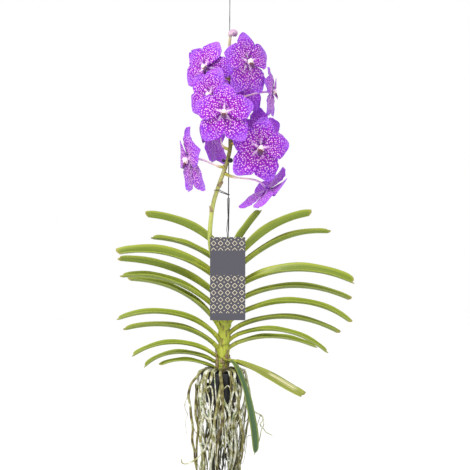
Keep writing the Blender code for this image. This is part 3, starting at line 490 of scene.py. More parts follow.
def leaf_grid(leaf, seed, spread):
    """The blade from its joint to its bitten tip, where it is wider by the share `spread`."""
    draw = random.Random(seed)
    waves, phase = draw.uniform(2.0, 3.5), draw.uniform(0, 6.28)
    bite = draw.choice((-1, 1)) * draw.uniform(0.7, 1.1)
    smooth_tip = leaf[9] != 0
    grid, lie, thick = [], [], []
    count = 60
    for i in range(count):
        share = JOINT_AT - 0.004 + (1.004 - JOINT_AT) * (1 - (1 - i / (count - 1)) ** 1.2)
        centre, along, wide, upper = leaf_frame(leaf, share)
        half = leaf_half_width(leaf[6], share)
        if not smooth_tip:
            half = max(half, 0.84 * leaf[6] * (1 - 0.18 * max(0.0, (share - 0.90) / 0.10) ** 2))
            half *= 1 + spread * share
        else:
            half = leaf[6] * (0.62 + 0.42 * math.sin(math.pi * share**3))
            half *= math.sqrt(max(0.01, 1 - max(0.0, (share - 0.955) / 0.045) ** 2))
        near_tip = max(0.0, (share - 0.90) / 0.10) ** 2
        row, spots, depths = [], [], []
        for point, across in folded_row(leaf, centre, wide, upper, half):
            ripple = RIPPLE * across * math.sin(2 * math.pi * waves * share + phase + across)
            point = point + upper * ripple
            if not smooth_tip:
                notch = BITE_SLANT * bite * across - BITE_NOTCH * math.exp(-((across / 0.30) ** 2))
                notch -= BITE_CORNER * across**4
                point += along * (near_tip * notch)
            row.append(tuple(point))
            spots.append((share, across, seed * 0.137 % 1.0))
            depths.append(LEAF_THICKNESS * (1.0 - 0.62 * abs(across) ** 3) * (1.0 - 0.45 * near_tip))
        grid.append(row)
        lie.append(spots)
        thick.append(depths)
    return grid, thick, lie


# How far the edge of the torn strip follows the veins
RIP_DEPTH = 1.4


def leaf_finish(name, young, grown, under, tip, torn=0.0, keel_share=0.45):
    """Living leaf: a waxy cuticle over green flesh with fine parallel veins, paler at the base,
    along the keel and at the margins, with small scars and a dried tip."""
    made, tree, shader = new_finish(name, 0.36, IOR=1.45, Specular_IOR_Level=0.30)
    shader.inputs["Subsurface Weight"].default_value = 0.06
    shader.inputs["Subsurface Radius"].default_value = (0.0012, 0.0020, 0.0004)
    spot = add(tree, "ShaderNodeAttribute", attribute_name="lie")
    top = add(tree, "ShaderNodeAttribute", attribute_name="upper")
    parts = add(tree, "ShaderNodeSeparateXYZ", links={"Vector": (spot, "Vector")})
    where = add(tree, "ShaderNodeTexCoord")
    # Clouds of lighter and darker green about 25 mm across
    clouds = add(tree, "ShaderNodeTexNoise", {"Scale": 40.0, "Detail": 3.0}, {"Vector": (where, "Object")})
    moved = add(tree, "ShaderNodeMath", {1: 0.80}, {0: (clouds, "Fac")}, operation="MULTIPLY")
    run = add(tree, "ShaderNodeMath", links={0: (parts, "X"), 1: (moved, 0)}, operation="ADD")
    base = add(tree, "ShaderNodeValToRGB", links={"Fac": (run, 0)}, stops=[(0.40, young), (0.80, grown)])
    # Veins about 1.1 mm apart, further apart than they grow so that they show
    stretch = add(tree, "ShaderNodeMapping", {"Scale": (1.5, 11.0, 40.0)}, {"Vector": (spot, "Vector")})
    veins = add(
        tree, "ShaderNodeTexNoise", {"Scale": 1.0, "Detail": 4.0, "Roughness": 0.6},
        {"Vector": (stretch, "Vector")},
    )
    vein_dark = add(
        tree, "ShaderNodeValToRGB", links={"Fac": (veins, "Fac")}, stops=[
            (0.35, "#c2c9b4"), (0.55, "#ffffff")
        ]
    )
    veined = add(
        tree, "ShaderNodeMix", {0: 0.8}, {6: (base, "Color"), 7: (vein_dark, "Color")},
        data_type="RGBA", blend_type="MULTIPLY",
    )
    if torn:
        # A torn strip along one edge has dried to cream, and a dark green rib of it still stands
        rip = add(tree, "ShaderNodeMath", {1: RIP_DEPTH}, {0: (veins, "Fac")}, operation="MULTIPLY")
        edge = add(tree, "ShaderNodeMath", links={0: (parts, "Y"), 1: (rip, 0)}, operation="ADD")
        start = add(
            tree, "ShaderNodeMapRange", {"From Min": 0.52, "From Max": 0.58, "To Max": torn}, {
                "Value": (parts, "X")
            }
        )
        stop = add(
            tree, "ShaderNodeMapRange", {"From Min": 0.86, "From Max": 0.93, "To Min": 1.0, "To Max": 0.0},
            {"Value": (parts, "X")},
        )
        span = add(
            tree, "ShaderNodeMath", links={0: (start, "Result"), 1: (stop, "Result")}, operation="MULTIPLY"
        )
        for low, shade in ((1.02, "#cdc79a"), (1.44, "#4d6638")):
            beyond = add(
                tree, "ShaderNodeMapRange", {"From Min": low, "From Max": low + 0.06}, {"Value": (edge, 0)}
            )
            share = add(
                tree, "ShaderNodeMath", links={0: (beyond, "Result"), 1: (span, 0)}, operation="MULTIPLY"
            )
            veined = add(
                tree, "ShaderNodeMix", {7: linear(shade)}, {0: (share, 0), 6: (veined, 2)}, data_type="RGBA"
            )
    # The margins are paler too, where the blade is thin
    out = add(tree, "ShaderNodeMath", links={0: (parts, "Y")}, operation="ABSOLUTE")
    thin = add(
        tree, "ShaderNodeMapRange", {"From Min": 0.55, "From Max": 0.95, "To Max": 0.5},
        {"Value": (out, 0)},
    )
    veined = add(
        tree, "ShaderNodeMix", {7: linear(young)}, {0: (thin, "Result"), 6: (veined, 2)}, data_type="RGBA"
    )
    # The keel is a paler line, a tenth of the blade wide
    keel = add(
        tree, "ShaderNodeMapRange", {"From Min": 0.02, "From Max": 0.12, "To Min": keel_share, "To Max": 0.0},
        {"Value": (out, 0)},
    )
    keeled = add(
        tree, "ShaderNodeMix", {7: linear(young)}, {0: (keel, "Result"), 6: (veined, 2)}, data_type="RGBA"
    )
    # Painted shade: the underside is mixed a little towards the darker colour `under`, for the side turned
    # away from the lamps
    underside_shade_share = add(tree, "ShaderNodeMapRange", {"To Min": 0.72, "To Max": 1.0}, {"Value": (top, "Fac")})
    lit = add(
        tree, "ShaderNodeMix", {6: linear(under)}, {0: (underside_shade_share, "Result"), 7: (keeled, 2)},
        data_type="RGBA",
    )
    # The thin margins of the clasping base have dried to a brown line
    dry_edge = add(tree, "ShaderNodeMapRange", {"From Min": 0.80, "From Max": 0.94}, {"Value": (out, 0)})
    base_only = add(
        tree, "ShaderNodeMapRange", {"From Min": 0.045, "From Max": 0.06, "To Min": 0.8, "To Max": 0.0},
        {"Value": (parts, "X")},
    )
    dry_share = add(
        tree, "ShaderNodeMath", links={0: (dry_edge, "Result"), 1: (base_only, "Result")},
        operation="MULTIPLY",
    )
    lit = add(
        tree, "ShaderNodeMix", {7: linear("#77603a")}, {0: (dry_share, 0), 6: (lit, 2)}, data_type="RGBA"
    )
    # Dry, yellowed tissue begins 3 to 6 mm from the tip and in a few small scars
    scars = add(tree, "ShaderNodeTexNoise", {"Scale": 210.0, "Detail": 5.0}, {"Vector": (where, "Object")})
    scar_share = add(
        tree, "ShaderNodeMapRange", {"From Min": 0.66, "From Max": 0.74, "To Max": 0.7}, {
            "Value": (scars, "Fac")
        }
    )
    tip_share = add(
        tree, "ShaderNodeMapRange", {"From Min": 0.975, "From Max": 1.0, "To Max": 0.75}, {
            "Value": (parts, "X")
        }
    )
    worn = add(
        tree, "ShaderNodeMath", links={0: (scar_share, "Result"), 1: (tip_share, "Result")},
        operation="MAXIMUM",
    )
    colour = add(
        tree, "ShaderNodeMix", {7: linear(tip)}, {0: (worn, 0), 6: (lit, 2)}, data_type="RGBA"
    )
    shine = add(tree, "ShaderNodeMapRange", {"To Min": 0.30, "To Max": 0.52}, {"Value": (veins, "Fac")})
    finish_off(tree, shader, (colour, 2), (shine, "Result"), (veins, "Fac"), 0.35, 0.0004)
    return made


# Most leaves are yellow-green, the hanging one is a deeper green, and the torn one has yellowed. The third
# colour of each is its underside's painted shade
leaf_green = leaf_finish("waxy_leaf_cuticle", "#b9be46", "#7a8a2c", "#5f6f2b", "#a08f4a")
leaf_old = leaf_finish("dark_leaf_cuticle", "#98a23e", "#456040", "#4c6340", "#5d6b42", keel_share=0.1)
leaf_yellow = leaf_finish("yellowed_leaf_cuticle", "#979d3a", "#959b4a", "#7f873a", "#7d6f42", 0.95)
LEAF_FINISH = {"leaf_right_11": leaf_old, "leaf_right_10": leaf_yellow}

for seed, name in enumerate(LEAVES, 1):
    form = new_form()
    sheet(form, *leaf_grid(leaf_plan(name), seed, LEAF_SPREAD.get(name, TIP_SPREAD)))
    show(name + "_blade", form, [LEAF_FINISH.get(name, leaf_green)], name)

# Cane: the single woody stem, leaning a little. Its rings are the scars of shed leaves, the
# clasping leaf sheaths are part of it, and dry brown fibres of old sheaths hang at its foot.
CANE_TOP = 0.196
CANE_FOOT = -0.006
CANE_RADIUS = 0.0088
JOINT_GAP = 0.0005
SHEATH_DROP = 0.016
SHEATH_HALF = 0.0055
SHEATH_THICKNESS = 0.0026


def sheath_grid(leaf, seed):
    """The leaf base: it clasps the cane, rises along it, folds and ends at the blade's joint."""
    side, foot, yaw = leaf[0], leaf[1], math.radians(leaf[9])
    length = (leaf_frame(leaf, 0.0)[0] - leaf_frame(leaf, JOINT_AT)[0]).length
    joint_share = JOINT_AT * (1 - JOINT_GAP * (1 + yaw) / length)
    end, along, last_wide, last_upper = leaf_frame(leaf, joint_share)
    low = max(foot - SHEATH_DROP - 0.010, CANE_FOOT + 0.016)
    start = Vector((cane_x(low), 0, RIM_Z + low))
    reach = (end - start).length
    ends = (start, start + Vector((side * 0.1, 0, 1)) * 0.38 * reach, end - along * 0.42 * reach, end)
    plan = Matrix.Rotation(-side * yaw, 3, "Z") @ Vector((side, 0, 0))
    broad = Vector((side * math.sin(yaw), math.cos(yaw), 0))
    grid, lie, thick = [], [], []
    for i in range(19):
        share = i / 18
        behind, beyond = curve_point(ends, max(0, share - 0.01)), curve_point(ends, min(1, share + 0.01))
        ahead = (beyond - behind).normalized()
        upper = (broad.cross(ahead) * (-side)).normalized()
        late = max(0.0, (share - 0.55) / 0.45)
        wide = broad.lerp(last_wide, late).normalized()
        upper = upper.lerp(last_upper, late).normalized()
        half = SHEATH_HALF + (leaf_half_width(leaf[6], JOINT_AT) - SHEATH_HALF) * share**0.8
        centre = curve_point(ends, share)
        row = folded_row(leaf, centre, wide, upper, half)
        opened = min(1.0, max(0.0, (share - 0.12) / 0.60))
        opened = opened * opened * (3 - 2 * opened)
        climb = centre.z - RIM_Z
        clasp = 0.0098 - 0.0030 * max(0.0, (climb - 0.13) / 0.06) - 0.0008 * climb / 0.2
        core = Vector((cane_x(climb), 0, centre.z))
        for k, (point, across) in enumerate(row):
            angle = 2.1 * across * (1 - 0.3 * share)
            ring = core + plan * (clasp * math.cos(angle)) + broad * (clasp * math.sin(angle))
            ring.z -= 0.010 * abs(across) * (1 - opened)
            row[k] = (ring.lerp(point, opened), across)
        grid.append([tuple(p) for p, _ in row])
        lie.append([(0.06 * share, a, seed * 0.137 % 1.0) for _, a in row])
        thick.append([SHEATH_THICKNESS * (1.0 - 0.55 * abs(a) ** 3) for _, a in row])
    return grid, thick, lie


# Woody cane with its green rind: dull, ringed at the scars and browned towards the foot.
cane_rind, tree, shader = new_finish("green_cane_rind", 0.55, IOR=1.45)
where = add(tree, "ShaderNodeTexCoord")
parts = add(tree, "ShaderNodeSeparateXYZ", links={"Vector": (where, "Object")})
height = add(
    tree, "ShaderNodeMapRange", {"From Min": RIM_Z, "From Max": RIM_Z + 0.16}, {"Value": (parts, "Z")}
)
# Rings about every 18 mm up the cane
rings = add(
    tree, "ShaderNodeTexWave", {"Scale": 17.5, "Distortion": 2.0, "Detail": 2.0}, {
        "Vector": (where, "Object")
    },
    wave_type="BANDS", bands_direction="Z",
)
base = add(
    tree, "ShaderNodeValToRGB", links={"Fac": (height, "Result")},
    stops=[(0.0, "#6d5a35"), (0.3, "#8e8d45"), (1.0, "#8fa548")],
)
ring_tone = add(
    tree, "ShaderNodeValToRGB", links={"Fac": (rings, "Fac")}, stops=[(0.1, "#a08a66"), (0.35, "#ffffff")]
)
colour = add(
    tree, "ShaderNodeMix", {0: 0.4}, {6: (base, "Color"), 7: (ring_tone, "Color")},
    data_type="RGBA", blend_type="MULTIPLY",
)
shine = add(tree, "ShaderNodeMapRange", {"To Min": 0.7, "To Max": 0.45}, {"Value": (rings, "Fac")})
finish_off(tree, shader, (colour, 2), (shine, "Result"), (rings, "Fac"), 0.4, 0.0005)

# Dead sheath tissue: thin, matt brown fibre with splits along the grain.
dry_sheath, tree, shader = new_finish("dry_sheath_fibre", 0.82)
spot = add(tree, "ShaderNodeAttribute", attribute_name="lie")
# Fibres 0.1 to 0.3 mm apart
stretch = add(tree, "ShaderNodeMapping", {"Scale": (2.0, 14.0, 50.0)}, {"Vector": (spot, "Vector")})
fibres = add(tree, "ShaderNodeTexNoise", {"Scale": 1.0, "Detail": 5.0}, {"Vector": (stretch, "Vector")})
tone = add(
    tree, "ShaderNodeValToRGB", links={"Fac": (fibres, "Fac")},
    stops=[(0.3, "#4b3c26"), (0.5, "#857048"), (0.70, "#cfc39c")],
)
rough = add(tree, "ShaderNodeMapRange", {"To Min": 0.7, "To Max": 0.95}, {"Value": (fibres, "Fac")})
finish_off(tree, shader, (tone, "Color"), (rough, "Result"), (fibres, "Fac"), 0.6, 0.0005)

form = new_form()
heights = [0.006, 0.05, 0.11, 0.16, CANE_TOP]
axis = [Vector((cane_x(h), 0, RIM_Z + h)) for h in heights]
axis.insert(0, Vector((axis[0].x, 0, RIM_Z + CANE_FOOT)))
tube(form, smooth_path(axis, 10), [0.95 * CANE_RADIUS, CANE_RADIUS, CANE_RADIUS, 0.6 * CANE_RADIUS], 24)
for seed, name in enumerate(LEAVES, 1):
    sheet(form, *sheath_grid(leaf_plan(name), seed), finish=1)
show("cane_with_sheaths", form, [cane_rind, leaf_green], "cane")

SCRAP_SEED = 5
SCRAPS = 24
form = new_form()
draw = random.Random(SCRAP_SEED)
for k in range(SCRAPS):
    turn = math.radians(-90 + draw.uniform(-160, 160))
    low = draw.uniform(-0.005, 0.024)
    tall, broad = draw.uniform(0.009, 0.026), draw.uniform(0.10, 0.34)
    lean = draw.uniform(0.0000, 0.0042)
    grid, lie = [], []
    for i in range(9):
        share = i / 8
        close = CANE_RADIUS + 0.0026 + lean * share * share
        width = broad * (1 - share**1.6)
        row = []
        for j in range(6):
            angle = turn + width * (j / 2.5 - 1) + 0.15 * math.sin(9 * share + j)
            rim = close + 0.0004 * math.sin(5 * j + 3 * share)
            row.append(
                (cane_x(low) + rim * math.cos(angle), rim * math.sin(angle), RIM_Z + low + tall * share)
            )
        grid.append(row)
        lie.append([(share, j / 2.5 - 1, k * 0.31 % 1.0) for j in range(6)])
    sheet(form, grid, 0.0003, lie)
show("dry_sheath_scraps", form, [dry_sheath], "cane")

# Flower spike: a fleshy stalk out of a leaf axil, bent left and then up, with a stalk and
# ribbed ovary behind every bloom and a small papery bract where each one leaves it.
SPIKE_POINTS = [
    (-0.0195, -0.0165, -0.500),
    (-0.0290, -0.0195, -0.470),
    (-0.0337, -0.0195, -0.432),
    (-0.0290, -0.0120, -0.382),
    (-0.0185, -0.0010, -0.345),
    (-0.0065, 0.0085, -0.311),
    (0.0005, 0.0100, -0.282),
    (0.0040, 0.0085, -0.250),
    (0.0052, 0.0075, -0.217),
    (0.0045, 0.0075, -0.184),
    (0.0028, 0.0075, -0.150),
    (0.0004, 0.0070, -0.122),
    (-0.0006, 0.0065, -0.104),
    (0.0008, 0.0060, -0.094),
]
SPIKE_RADII = (0.0040, 0.0038, 0.0036, 0.0034, 0.0032, 0.0028, 0.0026, 0.0024)
HUB_RADIUS = 0.0062
HUB_DEPTH = 0.0042
# name: hub, azimuth and elevation that it faces, roll, size, height where its stalk leaves
BLOOMS = {
    "bloom_01": ((0.029, -0.030, -0.139), 43, 4, 4, 1.04, -0.156),
    "bloom_02": ((-0.040, 0.006, -0.144), -36, 4, 48, 0.95, -0.166),
    "bloom_03": ((-0.032, -0.016, -0.193), -34, -2, 48, 0.97, -0.208),
    "bloom_04": ((-0.009, -0.067, -0.226), -2, 0, 0, 1.00, -0.236),
    "bloom_05": ((0.071, 0.032, -0.183), 76, 0, 0, 0.86, -0.194),
    "bloom_06": ((0.047, 0.056, -0.254), 150, -6, 0, 0.95, -0.256),
    "bloom_07": ((0.050, -0.032, -0.283), 14, -6, -10, 1.06, -0.272),
    "bloom_08": ((-0.067, -0.006, -0.302), -70, -8, 0, 1.13, -0.3145),
    "bloom_09": ((0.064, 0.008, -0.352), 118, -46, 0, 1.00, -0.324),
    "bloom_10": ((-0.030, 0.052, -0.260), -118, -10, 0, 0.95, -0.284),
    "bloom_11": ((0.018, 0.050, -0.170), 170, 6, 0, 0.92, -0.180),
}
PEDICEL_SWING = {"bloom_10": (-0.7, -0.2, 0)}
spike_line = smooth_path(SPIKE_POINTS, 2)


def spike_point(z):
    """The point of the spike's centre line at this height."""
    for low, high in zip(spike_line, spike_line[1:]):
        if low.z <= z <= high.z:
            return low.lerp(high, (z - low.z) / (high.z - low.z))
    return spike_line[-1]


def bloom_frame(bloom):
    """The matrix from a bloom's own frame: x to its right, y up its dorsal sepal, z out of its face."""
    hub, azimuth, elevation, roll, size, _ = bloom
    a, e = math.radians(azimuth), math.radians(elevation)
    face = Vector((math.sin(a) * math.cos(e), -math.cos(a) * math.cos(e), math.sin(e)))
    up = (Vector((0, 0, 1)) - face * face.z).normalized()
    up = Matrix.Rotation(math.radians(roll), 3, face) @ up
    right = up.cross(face)
    turn = Matrix((right, up, face)).transposed() * size
    return Matrix.Translation(hub) @ turn.to_4x4()


def pedicel_path(name, bloom):
    """From the spike to just behind the hub."""
    turn = bloom_frame(bloom)
    start = spike_point(bloom[5])
    end = turn @ Vector((0, 0, -HUB_DEPTH - 2 * GAP))
    face = (turn.to_3x3() @ Vector((0, 0, 1))).normalized()
    reach = (end - start).length
    out = (end - start).normalized() + Vector((0, 0, -0.25)) + Vector(PEDICEL_SWING.get(name, (0, 0, 0)))
    ends = (start, start + out * 0.4 * reach, end - face * 0.42 * reach, end)
    return [curve_point(ends, k / 18) for k in range(19)]


# Fleshy spike tissue: pale yellow-green and waxy, with faint streaks. It is olive among the
# blooms and beige at its tip.
spike_skin, tree, shader = new_finish("waxy_flower_stalk", 0.38, IOR=1.44)
shader.inputs["Subsurface Weight"].default_value = 0.08
shader.inputs["Subsurface Radius"].default_value = (0.002, 0.002, 0.0006)
where = add(tree, "ShaderNodeTexCoord")
parts = add(tree, "ShaderNodeSeparateXYZ", links={"Vector": (where, "Object")})
height = add(tree, "ShaderNodeMapRange", {"From Min": -0.50, "From Max": -0.09}, {"Value": (parts, "Z")})
base = add(
    tree, "ShaderNodeValToRGB", links={"Fac": (height, "Result")},
    stops=[
        (0.0, "#8b9a38"), (0.26, "#b3ba62"), (0.42, "#b7bb68"), (0.50, "#83843f"), (0.66, "#8c864c"),
        (0.86, "#b3a77f"), (1.0, "#c3b693"),
    ],
)
# Streaks 1 mm across and 12 mm long
stretch = add(tree, "ShaderNodeMapping", {"Scale": (1000.0, 1000.0, 80.0)}, {"Vector": (where, "Object")})
streaks = add(tree, "ShaderNodeTexNoise", {"Scale": 1.0, "Detail": 3.0}, {"Vector": (stretch, "Vector")})
dark = add(
    tree, "ShaderNodeValToRGB", links={"Fac": (streaks, "Fac")},
    stops=[(0.35, "#b7a98a"), (0.6, "#ffffff")],
)
colour = add(
    tree, "ShaderNodeMix", {0: 0.6}, {6: (base, "Color"), 7: (dark, "Color")},
    data_type="RGBA", blend_type="MULTIPLY",
)
shine = add(tree, "ShaderNodeMapRange", {"To Min": 0.32, "To Max": 0.5}, {"Value": (streaks, "Fac")})
finish_off(tree, shader, (colour, 2), (shine, "Result"), (streaks, "Fac"), 0.2, 0.0003)

# Flower stalk and ovary: smooth and pale pink, greener where it leaves the spike.
stalk_skin, tree, shader = new_finish("pale_pink_flower_stalk", 0.42, IOR=1.42)
shader.inputs["Subsurface Weight"].default_value = 0.12
shader.inputs["Subsurface Radius"].default_value = (0.0025, 0.0015, 0.0015)
spot = add(tree, "ShaderNodeAttribute", attribute_name="lie")
parts = add(tree, "ShaderNodeSeparateXYZ", links={"Vector": (spot, "Vector")})
base = add(
    tree, "ShaderNodeValToRGB", links={"Fac": (parts, "X")},
    stops=[(0.10, "#b5b83e"), (0.27, "#e9d9c4"), (0.8, "#ecc9e6"), (1.0, "#cfa2e6")],
)
stretch = add(tree, "ShaderNodeMapping", {"Scale": (3.0, 12.0, 9.0)}, {"Vector": (spot, "Vector")})
ribs = add(tree, "ShaderNodeTexNoise", {"Scale": 1.0, "Detail": 2.0}, {"Vector": (stretch, "Vector")})
tint = add(
    tree, "ShaderNodeValToRGB", links={"Fac": (ribs, "Fac")}, stops=[(0.3, "#dcb0dc"), (0.6, "#ffffff")]
)
colour = add(
    tree, "ShaderNodeMix", {0: 0.5}, {6: (base, "Color"), 7: (tint, "Color")},
    data_type="RGBA", blend_type="MULTIPLY",
)
shine = add(tree, "ShaderNodeMapRange", {"To Min": 0.35, "To Max": 0.55}, {"Value": (ribs, "Fac")})
finish_off(tree, shader, (colour, 2), (shine, "Result"), (ribs, "Fac"), 0.3, 0.0003)

form = new_form()
tube(form, smooth_path(SPIKE_POINTS, 9), SPIKE_RADII, 20)
for name, bloom in BLOOMS.items():
    tube(
        form, pedicel_path(name, bloom), [0.0029, 0.0026, 0.0014, 0.0015, 0.0017, 0.0019, 0.0021], 12,
        finish=1,
    )
show("flower_spike_stalk", form, [spike_skin, stalk_skin], "flower_spike")


def bract(form, centre, along, toward, radius, length, mark):
    """A pointed scale that clasps a stalk on one side."""
    toward = (toward - along * toward.dot(along)).normalized()
    other = along.cross(toward)
    grid, lie = [], []
    for i in range(8):
        share = i / 7
        width = 1.5 * (1 - share**1.8)
        stand = radius + 0.0003 + 0.0022 * share * share
        row = []
        for j in range(9):
            angle = width * (j / 4 - 1)
            offset = toward * (stand * math.cos(angle)) + other * (stand * math.sin(angle))
            row.append(tuple(centre + along * (length * share) + offset))
        grid.append(row)
        lie.append([(share, j / 4 - 1, mark) for j in range(9)])
    sheet(form, grid, 0.00035, lie)


form = new_form()
for k, (name, bloom) in enumerate(BLOOMS.items()):
    path = pedicel_path(name, bloom)
    centre = spike_point(bloom[5] - 0.0025)
    ahead = (spike_point(bloom[5] + 0.003) - centre).normalized()
    bract(form, centre, ahead, path[4] - path[0], 0.0030, 0.0060, k * 0.13)
for k, z in enumerate((-0.470, -0.392, -0.348)):
    centre = spike_point(z)
    ahead = (spike_point(z + 0.006) - centre).normalized()
    bract(form, centre, ahead, Vector(((-1) ** k, -0.7, 0)), 0.0039, 0.0110, 0.2 + k * 0.21)
show("spike_bracts", form, [dry_sheath], "flower_spike")

# Tip bud: the last bud of the spike, bent over and still closed. Its sepals have not parted,
# so it is one smooth swelling on a short neck.
BUD_CENTRE = (0.0042, 0.0050, -0.0875)
top = Vector(SPIKE_POINTS[-1])
bud_path = smooth_path(
    [
        top + Vector((0, 0, GAP + 0.0002)),
        top + Vector((0.0006, -0.0005, 0.0055)),
        Vector(BUD_CENTRE) + Vector((0.0030, 0, 0.0020)),
        Vector(BUD_CENTRE) + Vector((0.0062, 0, -0.0040)),
    ],
    10,
)
# Bud skin: matt mauve-pink sepals over green, paler along the veins.
bud_skin, tree, shader = new_finish("mauve_bud_skin", 0.5, IOR=1.42)
spot = add(tree, "ShaderNodeAttribute", attribute_name="lie")
parts = add(tree, "ShaderNodeSeparateXYZ", links={"Vector": (spot, "Vector")})
base = add(
    tree, "ShaderNodeValToRGB", links={"Fac": (parts, "X")},
    stops=[(0.0, "#bdb592"), (0.35, "#d3bbc4"), (0.75, "#c5a4c0"), (1.0, "#98788f")],
)
stretch = add(tree, "ShaderNodeMapping", {"Scale": (3.0, 15.0, 1.0)}, {"Vector": (spot, "Vector")})
lines = add(tree, "ShaderNodeTexNoise", {"Scale": 1.0, "Detail": 3.0}, {"Vector": (stretch, "Vector")})
tint = add(
    tree, "ShaderNodeValToRGB", links={"Fac": (lines, "Fac")}, stops=[(0.35, "#c3a2c4"), (0.6, "#ffffff")]
)
colour = add(
    tree, "ShaderNodeMix", {0: 0.7}, {6: (base, "Color"), 7: (tint, "Color")},
    data_type="RGBA", blend_type="MULTIPLY",
)
shine = add(tree, "ShaderNodeMapRange", {"To Min": 0.4, "To Max": 0.62}, {"Value": (lines, "Fac")})
finish_off(tree, shader, (colour, 2), (shine, "Result"), (lines, "Fac"), 0.3, 0.0004)

form = new_form()
tube(form, bud_path, [0.0021, 0.0027, 0.0042, 0.0056, 0.0063, 0.0063, 0.0057, 0.0044, 0.0015], 24)
show("tip_bud_closed", form, [bud_skin], "tip_bud")

# Tepals: each bloom has three sepals behind and two petals in front, thin and stiff,
# cupped and waved at the margins, all grown from one small hub at the end of the ovary.
DORSAL_SIZE = (0.050, 0.036)
PETAL_SIZE = (0.051, 0.040)
LATERAL_SIZE = (0.059, 0.040)
CLAW_WIDTH = 0.007
TEPAL_THICKNESS = 0.0010
TEPAL_SKEW = 1.60
# A tepal is drawn a little shorter than its solid, so that its waved edge stays in the CAD box
TEPAL_SHARE = 0.977
TEPAL_SEEDS = {"bloom_07": 17}


def tepal_grid(size, angle, base, lift, reflex, cup, wave, phase, draw, mark):
    """One tepal: a narrow claw, a broad rounded blade, its margin cupped, waved and a little crisped."""
    length, width = size
    direction = Vector((math.cos(math.radians(angle)), math.sin(math.radians(angle)), 0))
    sideways = Vector((-direction.y, direction.x, 0))
    crisp, beat = draw.uniform(0, 6.28), draw.uniform(3.0, 4.5)
    rows, count = 34, 19
    grid, lie, thick = [], [], []
    for i in range(rows):
        share = 0.06 + 0.938 * (1 - (1 - i / (rows - 1)) ** 1.5)
        swell = math.sin(math.pi * share**TEPAL_SKEW) ** 0.7
        late = max(0.0, (share - 0.50) / 0.50)
        swell = max(swell, math.sqrt(1 - late * late)) if late else swell
        half = 0.5 * CLAW_WIDTH * (1 - share) + 0.5 * width * swell
        row, spots, depths = [], [], []
        for k in range(count):
            across = 2 * k / (count - 1) - 1
            out = TEPAL_SHARE * length * share * (1 - 0.10 * across * across * share * (1 - late**4))
            ripple = wave * share * across * math.sin(2 * math.pi * (0.9 * share + 0.25 * across) + phase)
            edge = abs(across) ** 3 * share
            ripple += 0.0007 * edge * math.sin(2 * math.pi * beat * share + crisp + across)
            crease = -0.0006 * math.exp(-((across / 0.10) ** 2)) * math.sin(math.pi * share)
            height = base + lift * math.sin(math.pi * share) - reflex * share * share
            height += cup * across * across * share + ripple + crease
            bay = 1 - 0.020 * abs(across) * math.sin(2 * math.pi * (beat + 1) * share + crisp)
            row.append(tuple(direction * out + sideways * (half * bay * across) + Vector((0, 0, height))))
            spots.append((share, across * half / (0.5 * PETAL_SIZE[1]), mark))
            depths.append(TEPAL_THICKNESS * (1.0 - 0.55 * abs(across) ** 4))
        grid.append(row)
        lie.append(spots)
        thick.append(depths)
    return grid, thick, lie


# Petal tissue: a satin violet skin with a net of dark veins and pale dots in its meshes.
# It is nearly white at the claw, and blue-lilac and plain towards the margin.
tepal_skin, tree, shader = new_finish("netted_violet_petal", 0.46, IOR=1.40, Specular_IOR_Level=0.25)
shader.inputs["Subsurface Weight"].default_value = 0.10
shader.inputs["Subsurface Radius"].default_value = (0.0020, 0.0008, 0.0022)
shader.inputs["Sheen Weight"].default_value = 0.05
shader.inputs["Sheen Roughness"].default_value = 0.5
spot = add(tree, "ShaderNodeAttribute", attribute_name="lie")
top = add(tree, "ShaderNodeAttribute", attribute_name="upper")
parts = add(tree, "ShaderNodeSeparateXYZ", links={"Vector": (spot, "Vector")})
# The net's meshes are about 3.8 mm long and 3.4 mm wide on a petal 51 mm long and 40 mm wide
stretch = add(tree, "ShaderNodeMapping", {"Scale": (13.0, 5.8, 90.0)}, {"Vector": (spot, "Vector")})
# Every tepal has its own stretch of the net
tepal_number = add(tree, "ShaderNodeCombineXYZ", links={"X": (parts, "Z"), "Y": (parts, "Z")})
moved = add(
    tree, "ShaderNodeVectorMath", {1: (37.0, 53.0, 0.0)}, {0: (tepal_number, "Vector")},
    operation="MULTIPLY",
)
placed = add(
    tree, "ShaderNodeVectorMath", links={0: (stretch, "Vector"), 1: (moved, "Vector")}, operation="ADD"
)
meshes = add(
    tree, "ShaderNodeTexVoronoi", {"Scale": 1.0, "Randomness": 0.78}, {"Vector": (placed, "Vector")},
    feature="F1", voronoi_dimensions="2D",
)
net = add(
    tree, "ShaderNodeTexVoronoi", {"Scale": 1.0, "Randomness": 0.78}, {"Vector": (placed, "Vector")},
    feature="DISTANCE_TO_EDGE", voronoi_dimensions="2D",
)
clouds = add(tree, "ShaderNodeTexNoise", {"Scale": 3.0, "Detail": 3.0}, {"Vector": (spot, "Vector")})
# The dots are bolder in some patches, about 10 mm long and 4 mm wide, than in others
dabs = add(tree, "ShaderNodeTexNoise", {"Scale": 5.0, "Detail": 2.0}, {"Vector": (spot, "Vector")})
# How far a point is from the tepal's heart, roughened by the clouds
side = add(tree, "ShaderNodeMath", links={0: (parts, "Y")}, operation="ABSOLUTE")
side_far = add(tree, "ShaderNodeMath", {1: 0.75}, {0: (side, 0)}, operation="MULTIPLY")
far = add(tree, "ShaderNodeMath", links={0: (parts, "X"), 1: (side_far, 0)}, operation="MAXIMUM")
cloud = add(
    tree, "ShaderNodeMapRange", {"From Min": 0.3, "From Max": 0.7, "To Min": -0.09, "To Max": 0.09},
    {"Value": (clouds, "Fac")},
)
reach = add(tree, "ShaderNodeMath", links={0: (far, 0), 1: (cloud, "Result")}, operation="ADD")
ground = add(
    tree, "ShaderNodeValToRGB", links={"Fac": (reach, 0)},
    stops=[(0.10, "#9f45b8"), (0.24, "#860a9e"), (0.52, "#850cab"), (0.76, "#8226c2"), (0.96, "#a060e2")],
)
vein = add(
    tree, "ShaderNodeMapRange", {"From Min": 0.02, "From Max": 0.16, "To Min": 0.55, "To Max": 0.0},
    {"Value": (net, "Distance")},
)
